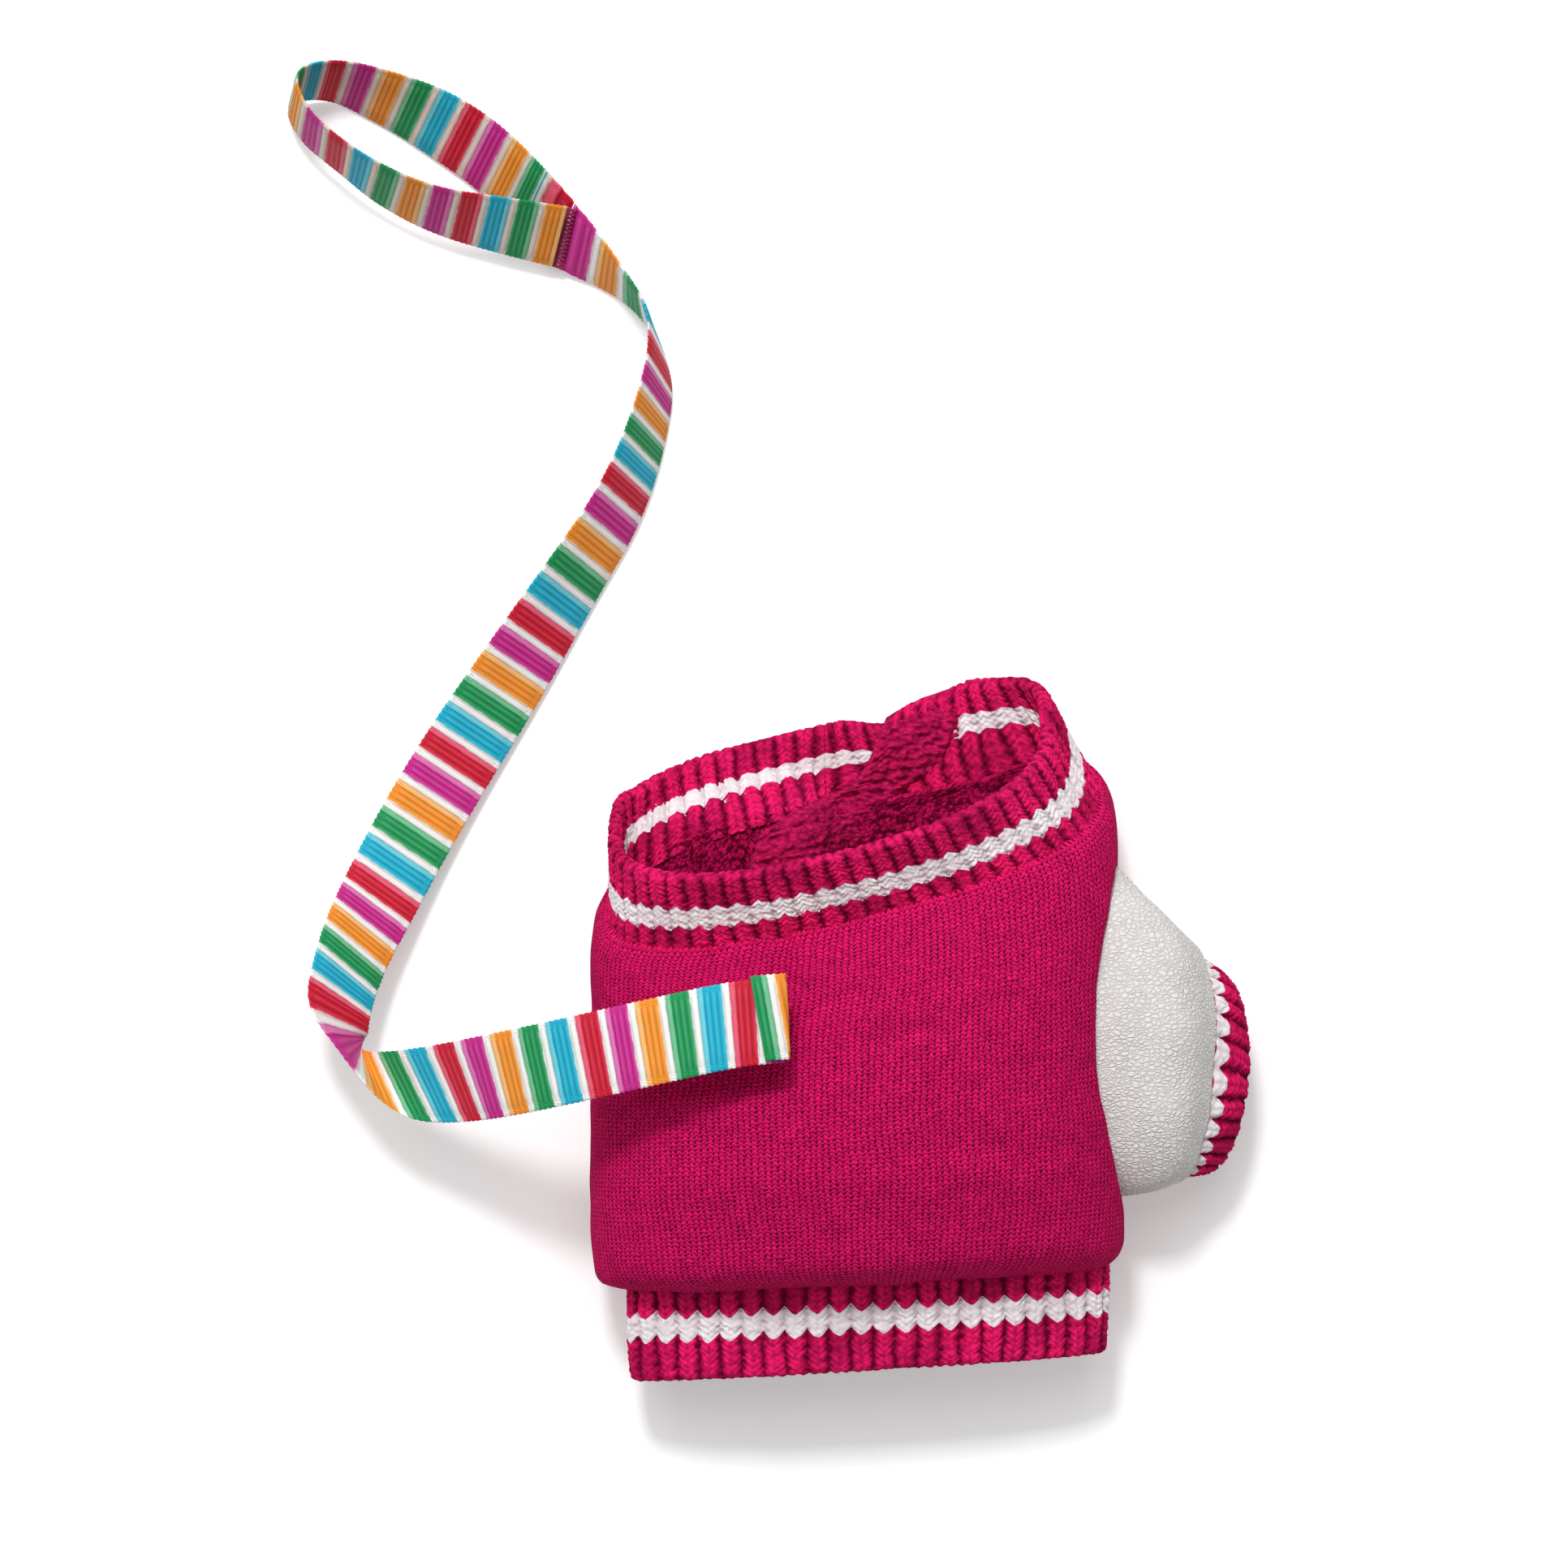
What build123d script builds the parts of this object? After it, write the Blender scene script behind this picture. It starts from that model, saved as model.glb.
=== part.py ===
from build123d import *
import math
import os

# A small knitted varsity jacket for a toy pet, lying on its belly, with a striped ribbon
# lead sewn to its back.  Millimetres, +Z up, +Y towards the neck, +X towards its right sleeve.
# The origin is the bottom centre of the jacket's own box, leaving the lead out.

os.makedirs("parts", exist_ok=True)

# ------------------------------------------------------------------ driving dimensions
body_width = 61.4            # side to side, as the fleece tube lies
body_middle_x = -7.2         # the tube's middle, left of the origin by the right sleeve's reach
body_height = 31.4           # table to the highest point of the back
widest_height = 12.0         # where the sides stand out furthest
waist_rim_y = -39.6          # free edge of the waist band, under the back's centre line
waist_band = 9.2             # height of the waist band, free edge to seam
fleece_length = 48.4         # waist seam to neck seam
neck_band = 9.6              # height of the neck band, seam to free edge
fleece = 1.3                 # thickness of the fleece
rib = 1.5                    # thickness of the rib bands
leather = 0.8                # thickness of the sleeves' coated cloth
gap = 0.3                    # clearance between soft pieces that aren't one
tape = 0.7                   # thickness of each closure tape
tape_width = 9.0
facing = 0.8                 # thickness of the looped facing along the closure
facing_width = 9.0
flap_hinge_x = -8.0          # fold line of the belly flap
flap_edge_x = 9.0            # free edge of the belly flap
underlap_edge_x = -4.0       # free edge of the underlap, inside the tube, at the neck rim
underlap_drag = 12.0         # how far that edge is dragged to the left, past the neck seam
seam_width = 3.0             # overlocked seam allowance, inside
armhole_seam_width = 2.0
seam_thickness = 0.9
right_seam = -10             # angle of the right side seam round the tube, in degrees
left_seam = 190
armhole_length = 38.4        # along Y
armhole_height = 17.2
armhole_middle_z = 12.6
armhole_neck_reach = 1.6     # the armhole ends this far past the neck seam, which leans forward there
sleeve_pocket = 6.2          # room under the left side for the sleeve that lies folded there
sleeve_pocket_edge_x = -14.0
cuff_length = 7.6
ribbon_width = 9.5
ribbon_thickness = 0.5
hem_length = 4.2             # turned-over end of the ribbon, at the jacket
thread = 0.8                 # thickness of the bar tack
stitch = 0.54                # thickness of the hand stitches

# ------------------------------------------------------------------ the tube's cross-sections
# Each ring leans: slant is how far +Y it goes per millimetre of +X, and tilt per millimetre of +Z.
# left and right are how far its sides stay inside the widest place, and top how far it stays
# under the highest.
PIVOT_X = -10.0
PIVOT_Z = 16.0
TOP_POWER = 2.3              # a plain ellipse has 2, a box a very large number
BOTTOM_POWER = 3.2
SINK = 0.8                   # how far the round underside would sink, where the table flattens it
WAIST_PUFF = 0.07            # the fleece puffs out over this share of its length, from the waist seam
NECK_SLOPE = 0.18            # and slopes down to the neck seam over this share

waist_seam_y = waist_rim_y + waist_band
neck_seam_y = waist_seam_y + fleece_length
neck_rim_y = neck_seam_y + neck_band
right_side_x = body_middle_x + body_width / 2
armhole_middle = (neck_seam_y + armhole_neck_reach - armhole_length / 2, armhole_middle_z)   # Y and Z


def ring(y, left, right, top, bottom=0.0, slant=0.06, tilt=0.0):
    half = (body_width - left - right) / 2
    return {
        "y": y,
        "half": half,
        "middle": body_middle_x + (left - right) / 2,
        "top": body_height - top,
        "bottom": bottom,
        "slant": slant,
        "tilt": tilt,
    }


waist_rings = [
    ring(waist_rim_y, 4.6, 2.2, 13.8),
    ring(waist_rim_y + waist_band / 2, 4.3, 2.0, 12.8),
    ring(waist_seam_y, 4.2, 2.0, 11.6),
]
fleece_rings = [
    ring(waist_seam_y + gap, 3.4, 1.6, 9.8),
    ring(waist_seam_y + WAIST_PUFF * fleece_length, 0.8, 0.6, 5.6),
    ring(waist_seam_y + 0.18 * fleece_length, 0.2, 0.0, 2.4, slant=0.07),
    ring(waist_seam_y + 0.34 * fleece_length, 0.0, 0.3, 0.4, slant=0.08),
    ring(waist_seam_y + 0.50 * fleece_length, 0.0, 0.8, 0.0, slant=0.10, tilt=-0.05),
    ring(waist_seam_y + 0.66 * fleece_length, 0.0, 0.8, 0.3, slant=0.13, tilt=-0.14),
    ring(neck_seam_y - NECK_SLOPE * fleece_length, 0.2, 0.4, 2.0, slant=0.17, tilt=-0.32),
    ring(neck_seam_y - gap, 1.8, 2.6, 5.2, bottom=0.2, slant=0.24, tilt=-0.62),
]
neck_rings = [
    ring(neck_seam_y, 2.2, 3.0, 5.5, bottom=0.3, slant=0.24, tilt=-0.62),
    ring(neck_seam_y + neck_band / 2, 2.2, 4.4, 3.2, bottom=0.6, slant=0.24, tilt=-0.62),
    ring(neck_rim_y, 2.0, 5.6, 0.6, bottom=0.9, slant=0.24, tilt=-0.62),
]


def smooth(share):
    share = min(1.0, max(0.0, share))
    return share * share * (3 - 2 * share)


POCKET_RAMP = 6.0            # the underside steps down to the table over this width
POCKET_END = 8.0             # and over this length at each end of the sleeve


def pocket_height(x, y):
    """How far the underside stands off the table over the folded left sleeve."""
    across = smooth((sleeve_pocket_edge_x + POCKET_RAMP - x) / POCKET_RAMP)
    along = smooth((armhole_length / 2 + POCKET_END / 2 - abs(y)) / POCKET_END)
    return sleeve_pocket * across * along


def ring_point(section, angle, inset):
    """A point of the tube, inset millimetres inside its outer face."""
    cosine = math.cos(math.radians(angle))
    sine = math.sin(math.radians(angle))
    if sine >= 0:
        power = TOP_POWER
        reach = section["top"] - widest_height - inset
    else:
        power = BOTTOM_POWER
        reach = widest_height - section["bottom"] + SINK - inset
    across = math.copysign(abs(cosine) ** (2 / power), cosine)
    x = section["middle"] + (section["half"] - inset) * across
    z = widest_height + math.copysign(reach * abs(sine) ** (2 / power), sine)
    y = section["y"] + section["slant"] * (x - PIVOT_X)
    if sine < 0:
        outer_x = section["middle"] + section["half"] * across
        z = max(z, section["bottom"] + inset, pocket_height(outer_x, y) + inset)
    y += section["tilt"] * (z - PIVOT_Z)
    return (x, y, z)


def bottom_angle(section, x):
    """The angle at which the underside passes the line x."""
    share = (x - section["middle"]) / section["half"]
    cosine = math.copysign(abs(share) ** (BOTTOM_POWER / 2), share)
    return 360 - math.degrees(math.acos(cosine))


def spread(first, last, count):
    return [first + (last - first) * step / (count - 1) for step in range(count)]


# ------------------------------------------------------------------ thin solids from grids
def triangle(a, b, c):
    return Face(Wire.make_polygon([Vector(*a), Vector(*b), Vector(*c)], close=True))


def quad(a, b, c, d):
    """Two flat faces, or one where two corners meet."""
    faces = []
    for corners in ((a, b, c), (a, c, d)):
        sides = [math.dist(corners[i], corners[(i + 1) % 3]) for i in range(3)]
        half = sum(sides) / 2
        area = half * (half - sides[0]) * (half - sides[1]) * (half - sides[2])
        if area > 1e-8:
            faces.append(triangle(*corners))
    return faces


def layer_solid(outer, inner, closed=False):
    """The solid between two grids of points with rows and columns alike."""
    faces = []
    rows = len(outer)
    columns = len(outer[0])
    steps = columns if closed else columns - 1
    for row in range(rows - 1):
        for column in range(steps):
            after = (column + 1) % columns
            for grid in (outer, inner):
                near, far = grid[row], grid[row + 1]
                faces += quad(near[column], near[after], far[after], far[column])
        if not closed:
            for column in (0, -1):
                faces += quad(
                    outer[row][column], outer[row + 1][column], inner[row + 1][column], inner[row][column]
                )
    for row in (0, -1):
        for column in range(steps):
            after = (column + 1) % columns
            faces += quad(outer[row][column], outer[row][after], inner[row][after], inner[row][column])
    solid = Solid(Shell(faces))
    if solid.volume < 0:
        solid = Solid(Shell([-face for face in faces]))
    return solid.clean()


def tube_layer(rings, angles_of, inset_of, thickness):
    """A strip of cloth round part of the tube; inset_of gives its outer face's depth at an x."""
    outer = []
    inner = []
    for section in rings:
        outer_row = []
        inner_row = []
        for angle in angles_of(section):
            x = ring_point(section, angle, 0)[0]
            depth = inset_of(x)
            outer_row.append(ring_point(section, angle, depth))
            inner_row.append(ring_point(section, angle, depth + thickness))
        outer.append(outer_row)
        inner.append(inner_row)
    return layer_solid(outer, inner)


def on_surface(x):
    return 0.0


def at_depth(depth):
    return lambda x: depth


# ------------------------------------------------------------------ the belly closure's layers
loop_depth = fleece + gap / 3                    # loop tape, on the flap's inner face
hook_depth = loop_depth + tape + gap / 3         # hook tape, on the underlap's outer face
underlap_depth = hook_depth + tape + gap / 3
band_underlap_depth = rib + gap
tape_middle_x = (flap_edge_x + underlap_edge_x) / 2
UNDERLAP_RAMP = 4.0                              # the underlap steps up over this width


def underlap(depth):
    """Depth of a layer that runs in over the flap from the right."""
    return lambda x: depth * smooth((flap_edge_x + gap + UNDERLAP_RAMP - x) / UNDERLAP_RAMP)


DRAG_START = neck_rim_y - neck_band / 2          # the drag starts in the middle of the neck band,
DRAG_LENGTH = 13.5                               # takes this length to grow
DRAG_END = waist_seam_y + 0.62 * fleece_length   # and is gone here


def underlap_edge(section):
    growing = smooth((DRAG_START - section["y"]) / DRAG_LENGTH)
    fading = smooth((section["y"] - DRAG_END) / (DRAG_START - DRAG_LENGTH - DRAG_END))
    return underlap_edge_x - underlap_drag * growing * fading


def facing_angles(section):
    """The strip along the underlap's free edge."""
    edge = underlap_edge(section)
    return [bottom_angle(section, x) for x in spread(edge + facing_width, edge, 4)]


def back_angles(section):
    return spread(right_seam, left_seam, 17)


def right_belly_angles(section):
    ramp_end = flap_edge_x + gap + UNDERLAP_RAMP
    side = spread(360 + right_seam, bottom_angle(section, ramp_end), 4)
    ramp = [bottom_angle(section, ramp_end - UNDERLAP_RAMP * share) for share in (0.5, 1.0)]
    return side + ramp + facing_angles(section)


def left_belly_angles(section):
    edge = flap_hinge_x - gap / 2
    corner = bottom_angle(section, sleeve_pocket_edge_x)
    side = spread(left_seam, corner, 5)
    return side + spread(corner, bottom_angle(section, edge), 4)[1:]


def flap_angles(section):
    first = bottom_angle(section, flap_hinge_x + gap / 2)
    return spread(first, bottom_angle(section, flap_edge_x), 3)


def band_angles(section):
    """The bands go round from the fold line, over the back, to the end inside the closure."""
    left = list(reversed(left_belly_angles(section)))
    back = list(reversed(back_angles(section)[1:-1]))
    right = [angle - 360 for angle in right_belly_angles(section)]
    return left + back + right


def tape_angles(section):
    left = bottom_angle(section, tape_middle_x - tape_width / 2)
    return spread(left, bottom_angle(section, tape_middle_x + tape_width / 2), 2)


# ------------------------------------------------------------------ fleece, bands, closure
def armhole_cutter():
    """An elliptical plug through the tube's right side."""
    start = (body_middle_x + body_width / 4, *armhole_middle)
    plane = Plane(origin=start, x_dir=(0, 1, 0), z_dir=(1, 0, 0))
    outline = plane * Ellipse(armhole_length / 2 + gap, armhole_height / 2 + gap)
    return extrude(outline, amount=body_width / 2)


left_armhole_middle = (-29.6, 0.0)               # X and Y, in the underside
left_armhole_half = (6.6, 14.6)


def left_armhole_cutter():
    plane = Plane(origin=(left_armhole_middle[0], left_armhole_middle[1], -1.0))
    outline = plane * Ellipse(left_armhole_half[0] - leather, left_armhole_half[1] - leather)
    return extrude(outline, amount=widest_height)


def solids_of(shape):
    return ShapeList(shape.solids())


parts = {}
right_cutter = armhole_cutter()
left_cutter = left_armhole_cutter()
back = tube_layer(fleece_rings, back_angles, on_surface, fleece)
parts["back_panel"] = back - right_cutter
belly_right = tube_layer(fleece_rings, right_belly_angles, underlap(underlap_depth), fleece)
parts["belly_panel_right"] = belly_right - right_cutter
belly_left = tube_layer(fleece_rings, left_belly_angles, on_surface, fleece)
parts["belly_panel_left"] = belly_left - left_cutter
parts["belly_flap"] = tube_layer(fleece_rings, flap_angles, on_surface, fleece)

for name, rings in (("neck_band", neck_rings), ("waist_band", waist_rings)):
    parts[name] = tube_layer(rings, band_angles, underlap(band_underlap_depth), rib)
    parts[name + "_flap_end"] = tube_layer(rings, flap_angles, on_surface, rib)

tape_rings = fleece_rings[1:-1]
parts["loop_tape"] = tube_layer(tape_rings, tape_angles, at_depth(loop_depth), tape)
parts["hook_tape"] = tube_layer(tape_rings, tape_angles, at_depth(hook_depth), tape)
facing_depth = underlap_depth + fleece + gap / 3
facing_rings = fleece_rings[1:] + neck_rings[1:]
parts["closure_facing"] = tube_layer(facing_rings, facing_angles, at_depth(facing_depth), facing)


# ------------------------------------------------------------------ overlocked seams, inside
def seam_rings(low, high, share):
    """Two rings a seam's width apart, on the fleece side of a band."""
    def between(key):
        return low[key] + (high[key] - low[key]) * share

    return [low, {key: between(key) for key in low}]


SEAM_END = 5                                     # degrees that a band's seam stops short of a side seam
SIDE_SEAM_LIFT = 0.3                             # the side seams bend with the tube, so they stand off more
inside = at_depth(fleece + gap)


def seam_angles(section):
    return spread(right_seam + SEAM_END, left_seam - SEAM_END, 15)


waist_share = seam_width / (WAIST_PUFF * fleece_length)
waist_seam_rings = seam_rings(fleece_rings[0], fleece_rings[1], waist_share)
parts["waist_seam_overlock"] = tube_layer(waist_seam_rings, seam_angles, inside, seam_thickness)
neck_share = seam_width / (NECK_SLOPE * fleece_length)
neck_seam_rings = seam_rings(fleece_rings[-1], fleece_rings[-2], neck_share)
parts["neck_seam_overlock"] = tube_layer(neck_seam_rings, seam_angles, inside, seam_thickness)


def side_seam(middle, rings):
    half_angle = math.degrees(seam_width / body_width)

    def angles(section):
        return [middle - half_angle, middle + half_angle]

    return tube_layer(rings, angles, at_depth(fleece + gap + SIDE_SEAM_LIFT), seam_thickness)


parts["side_seam_overlock_left"] = side_seam(left_seam, fleece_rings[2:-2])
WAIST_END = 0.4                                  # the right side seam ends at this share of a ring's gap
right_seam_rings = seam_rings(fleece_rings[1], fleece_rings[2], WAIST_END)
parts["side_seam_overlock_right"] = side_seam(right_seam, right_seam_rings)


# ------------------------------------------------------------------ sleeves and cuffs
def oval(middle, along, up, count=20):
    """Points of an ellipse from its middle and two half-axis vectors."""
    points = []
    for step in range(count):
        turn = 2 * math.pi * step / count
        cosine = math.cos(turn)
        sine = math.sin(turn)
        points.append(tuple(middle[i] + cosine * along[i] + sine * up[i] for i in range(3)))
    return points


def side_point(y, z, inset):
    """The point of the tube's right side above or below (y, z), inset from its outer face."""
    points = []
    for section in fleece_rings:
        if z >= widest_height:
            share = (z - widest_height) / (section["top"] - widest_height)
            angle = math.degrees(math.asin(min(1.0, share) ** (TOP_POWER / 2)))
        else:
            share = (widest_height - z) / (widest_height - section["bottom"] + SINK)
            angle = -math.degrees(math.asin(min(1.0, share) ** (BOTTOM_POWER / 2)))
        points.append(ring_point(section, angle, inset))
    for low, high in zip(points, points[1:]):
        if low[1] <= y <= high[1]:
            share = (y - low[1]) / (high[1] - low[1])
            return tuple(low[i] + share * (high[i] - low[i]) for i in range(3))
    raise ValueError("the armhole runs past the fleece")


def seam_on_armhole():
    """A flat ring of overlocked edge round the armhole, inside the tube."""
    middle_y, middle_z = armhole_middle
    grids = []
    for depth in (fleece + gap + SIDE_SEAM_LIFT, fleece + gap + SIDE_SEAM_LIFT + seam_thickness):
        rows = []
        for reach in (gap, gap + armhole_seam_width):
            along = (0, armhole_length / 2 + reach, 0)
            up = (0, 0, armhole_height / 2 + reach / 2)
            rows.append([side_point(y, z, depth) for _, y, z in oval((0, middle_y, middle_z), along, up)])
        grids.append(rows)
    return layer_solid(grids[0], grids[1], closed=True)


def armhole_oval(margin):
    """The sleeve's root, just outside the edge of the armhole."""
    middle_y, middle_z = armhole_middle
    along = (0, armhole_length / 2 - margin, 0)
    points = oval((0, middle_y, middle_z), along, (0, 0, armhole_height / 2 - margin))
    return [(side_point(y, z, fleece / 2)[0], y, z) for _, y, z in points]


def tilted_oval(middle, half, inset, droop):
    """A ring whose plane faces +X and droops towards the table by an angle in degrees."""
    turn = math.radians(droop)
    half_height = half[1] - inset
    up = (half_height * math.sin(turn), 0, half_height * math.cos(turn))
    return oval(middle, (0, half[0] - inset, 0), up)


sleeve_bulge_middle = (right_side_x + 1.7, armhole_middle[0] - 1.8, armhole_middle_z)
sleeve_bulge_half = (armhole_length / 2 - 2.6, 8.8)     # along Y and up
sleeve_bulge_droop = 20                          # each ring of the sleeve droops more, in degrees
sleeve_end_droop = 40
cuff_seam_droop = 42
cuff_droop = 52
cuff_seam_middle = (right_side_x + 6.1, armhole_middle[0] - 3.8, armhole_middle_z - 1.0)
cuff_seam_half = (armhole_length / 2 - 6.6, 6.4)
cuff_tuck = (0.6, 0.4)                           # the cuff is sewn on just inside the sleeve's end
cuff_rim_tuck = (1.4, 1.2)                       # and its knit draws in towards the rim
CUFF_CURL = 0.8                                  # it curls under, so it reaches out less than it drops
CUFF_DRIFT = -0.6                                # and hangs a little towards the waist
cuff_run = math.radians(cuff_droop)
cuff_rim_middle = (
    cuff_seam_middle[0] + cuff_length * math.cos(cuff_run) * CUFF_CURL,
    cuff_seam_middle[1] + CUFF_DRIFT,
    cuff_seam_middle[2] - cuff_length * math.sin(cuff_run),
)


def right_sleeve_rings(inset):
    bulge = tilted_oval(sleeve_bulge_middle, sleeve_bulge_half, inset, sleeve_bulge_droop)
    end = tilted_oval(cuff_seam_middle, cuff_seam_half, inset, sleeve_end_droop)
    return [armhole_oval(inset + gap), bulge, end]


def right_cuff_rings(inset):
    start = (cuff_seam_middle[0] + gap, cuff_seam_middle[1], cuff_seam_middle[2])
    seam_half = [half - tuck for half, tuck in zip(cuff_seam_half, cuff_tuck)]
    rim_half = [half - tuck for half, tuck in zip(cuff_seam_half, cuff_rim_tuck)]
    first = tilted_oval(start, seam_half, inset, cuff_seam_droop)
    return [first, tilted_oval(cuff_rim_middle, rim_half, inset, cuff_droop)]


CUFF_SEAM_SHARE = 0.4                            # the cuff's seam allowance, as a share of a ring's gap


def seam_in_sleeve(rings_of):
    """The overlocked ring where a cuff is sewn on, just inside the sleeve's end."""
    grids = []
    for inset in (leather + gap, leather + gap + seam_thickness / 2):
        rings = rings_of(inset)
        end = rings[-1]
        before = rings[-2]
        back = []
        for a, b in zip(end, before):
            back.append(tuple(a[i] + CUFF_SEAM_SHARE * (b[i] - a[i]) for i in range(3)))
        grids.append([back, end])
    return layer_solid(grids[0], grids[1], closed=True)


parts["sleeve_right"] = layer_solid(right_sleeve_rings(0), right_sleeve_rings(leather), closed=True)
parts["cuff_right"] = layer_solid(right_cuff_rings(0), right_cuff_rings(rib), closed=True)
parts["cuff_seam_overlock_right"] = seam_in_sleeve(right_sleeve_rings)
parts["armhole_seam_overlock_right"] = seam_on_armhole()

left_sleeve_end_x = -21.4
left_cuff_end_x = -15.2
folded_height = sleeve_pocket - gap              # the left sleeve lies flat in this height


def upright_oval(x, half_length, half_height):
    return oval((x, left_armhole_middle[1], folded_height / 2), (0, half_length, 0), (0, 0, half_height))


bend_turn = 50               # how far the folded sleeve has turned where it bends, in degrees
bend_clearance = 0.25        # how far its bend stays under the pocket
bend_half = (folded_height / 2 - bend_clearance) / math.cos(math.radians(bend_turn))
bend_shift = 2.0             # how far it has moved towards +X there
left_bend_tuck = 1.0         # how much narrower the sleeve is at its bend, at each end
left_end_tuck = 2.2
left_cuff_tuck = 2.6
left_cuff_rim_tuck = 3.4


def left_sleeve_rings(inset):
    """From the armhole in the underside, down and then along the table towards +X."""
    middle_x, middle_y = left_armhole_middle
    half_x, half_y = left_armhole_half
    turn = math.radians(bend_turn)
    root = oval((middle_x, middle_y, folded_height), (0, half_y - inset, 0), (half_x - inset, 0, 0))
    depth = bend_half - inset
    bend_up = (depth * math.sin(turn), 0, depth * math.cos(turn))
    bend_middle = (middle_x + bend_shift, middle_y, bend_half * math.cos(turn) + gap)
    bend = oval(bend_middle, (0, half_y - left_bend_tuck - inset, 0), bend_up)
    end_height = (folded_height - gap) / 2 - inset
    end = upright_oval(left_sleeve_end_x, half_y - left_end_tuck - inset, end_height)
    return [root, bend, end]


def left_cuff_rings(inset):
    half_y = left_armhole_half[1] - inset
    height = (folded_height - gap) / 2 - inset
    first = upright_oval(left_sleeve_end_x + gap, half_y - left_cuff_tuck, height)
    return [first, upright_oval(left_cuff_end_x, half_y - left_cuff_rim_tuck, height)]


parts["sleeve_left"] = layer_solid(left_sleeve_rings(0), left_sleeve_rings(leather), closed=True)
flat_rib = 1.2                                   # the flattened cuff's knit is pressed thinner
parts["cuff_left"] = layer_solid(left_cuff_rings(0), left_cuff_rings(flat_rib), closed=True)
parts["cuff_seam_overlock_left"] = seam_in_sleeve(left_sleeve_rings)


# ------------------------------------------------------------------ the ribbon lead
# Each stop of the route is the ribbon's middle, and the heading and rise of the direction across
# the ribbon, from one selvage to the other, in degrees.  It runs to the neck side where the lead
# is sewn to the back, and to the lower selvage once the lead has rolled over at its bend.
LEAD_ROUTE = [
    ((-15.4, 2.6, 35.6), (95, 0)),
    ((-20.0, 2.4, 36.2), (95, 0)),
    ((-27.5, 0.8, 36.0), (98, 0)),
    ((-38.0, -1.7, 33.0), (101, 0)),
    ((-47.0, -3.9, 26.0), (104, -2)),
    ((-54.0, -5.5, 17.8), (114, -8)),
    ((-60.0, -6.2, 11.4), (118, -26)),
    ((-63.6, -5.0, 9.4), (116, -50)),
    ((-65.6, -1.4, 9.0), (15, -76)),
    ((-67.4, 1.6, 9.2), (-30, -40)),
    ((-66.6, 6.0, 8.6), (-41, -26)),
    ((-65.2, 10.4, 7.0), (-41, -20)),
    ((-62.4, 16.2, 4.8), (-36, -14)),
    ((-58.8, 23.2, 3.4), (-34, -12)),
    ((-53.6, 32.0, 2.8), (-34, -16)),
    ((-47.4, 41.4, 3.2), (-34, -28)),
    ((-40.6, 52.0, 4.0), (-38, -43)),
    ((-34.6, 61.2, 4.4), (-40, -51)),
    ((-31.2, 70.4, 4.6), (-46, -58)),
    ((-29.6, 78.8, 4.8), (-61, -61)),
    ((-33.0, 86.2, 4.9), (-92, -74)),
    ((-41.0, 92.4, 4.2), (-107, -41)),
]
LOOP_ROUTE = [
    ((-41.6, 92.9, 4.2), (63, 42)),
    ((-48.0, 100.2, 3.6), (59, 41)),
    ((-55.6, 105.6, 3.6), (58, 42)),
    ((-62.0, 108.6, 4.1), (58, 53)),
    ((-68.4, 110.8, 4.8), (59, 64)),
    ((-73.2, 109.6, 6.0), (60, 68)),
    ((-71.6, 105.2, 7.2), (62, 71)),
    ((-67.4, 101.6, 7.4), (64, 72)),
    ((-62.4, 98.0, 7.0), (58, 67)),
    ((-56.4, 95.2, 6.6), (66, 61)),
    ((-49.6, 93.7, 6.2), (70, 53)),
    ((-41.7, 92.2, 5.6), (72, 46)),
]
FIT = 0.45                   # share of the shorter run that an arc may take


def unit(vector):
    length = math.sqrt(sum(value * value for value in vector))
    return tuple(value / length for value in vector)


def across_direction(heading, rise):
    turn = math.radians(heading)
    lift = math.radians(rise)
    return (math.cos(lift) * math.cos(turn), math.cos(lift) * math.sin(turn), math.sin(lift))


def corner_radii(points):
    radii = []
    for before, here, after in zip(points, points[1:], points[2:]):
        first = Vector(*here) - Vector(*before)
        second = Vector(*after) - Vector(*here)
        shorter = min(first.length, second.length)
        half_turn = math.radians(first.get_angle(second)) / 2
        radii.append(FIT * shorter / math.tan(half_turn))
    return radii


def ribbon_stations(route, spacing):
    """Middle, tangent and direction across, evenly along the route's runs and arcs."""
    points = [stop[0] for stop in route]
    edges = [across_direction(*stop[1]) for stop in route]
    path = FilletPolyline(*points, radius=corner_radii(points))
    wire = path.wire() if hasattr(path, "wire") else Wire(path.edges())
    count = max(2, round(wire.length / spacing) + 1)
    shares = spread(0.0, 1.0, count)
    samples = [wire.position_at(share) for share in shares]
    tangents = [wire.tangent_at(share) for share in shares]
    if (samples[0] - Vector(*points[0])).length > (samples[-1] - Vector(*points[0])).length:
        samples.reverse()
        tangents = [-tangent for tangent in reversed(tangents)]
    lengths = [0.0]
    for before, here in zip(points, points[1:]):
        lengths.append(lengths[-1] + math.dist(before, here))
    stations = []
    for share, sample, tangent in zip(shares, samples, tangents):
        travelled = share * lengths[-1]
        stop = max(i for i in range(len(points) - 1) if lengths[i] <= travelled + 1e-9)
        part_way = (travelled - lengths[stop]) / (lengths[stop + 1] - lengths[stop])
        edge = Vector(*edges[stop]) * (1 - part_way) + Vector(*edges[stop + 1]) * part_way
        edge = (edge - tangent * edge.dot(tangent)).normalized()
        stations.append((sample, tangent, edge))
    return wire.length, stations


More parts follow.
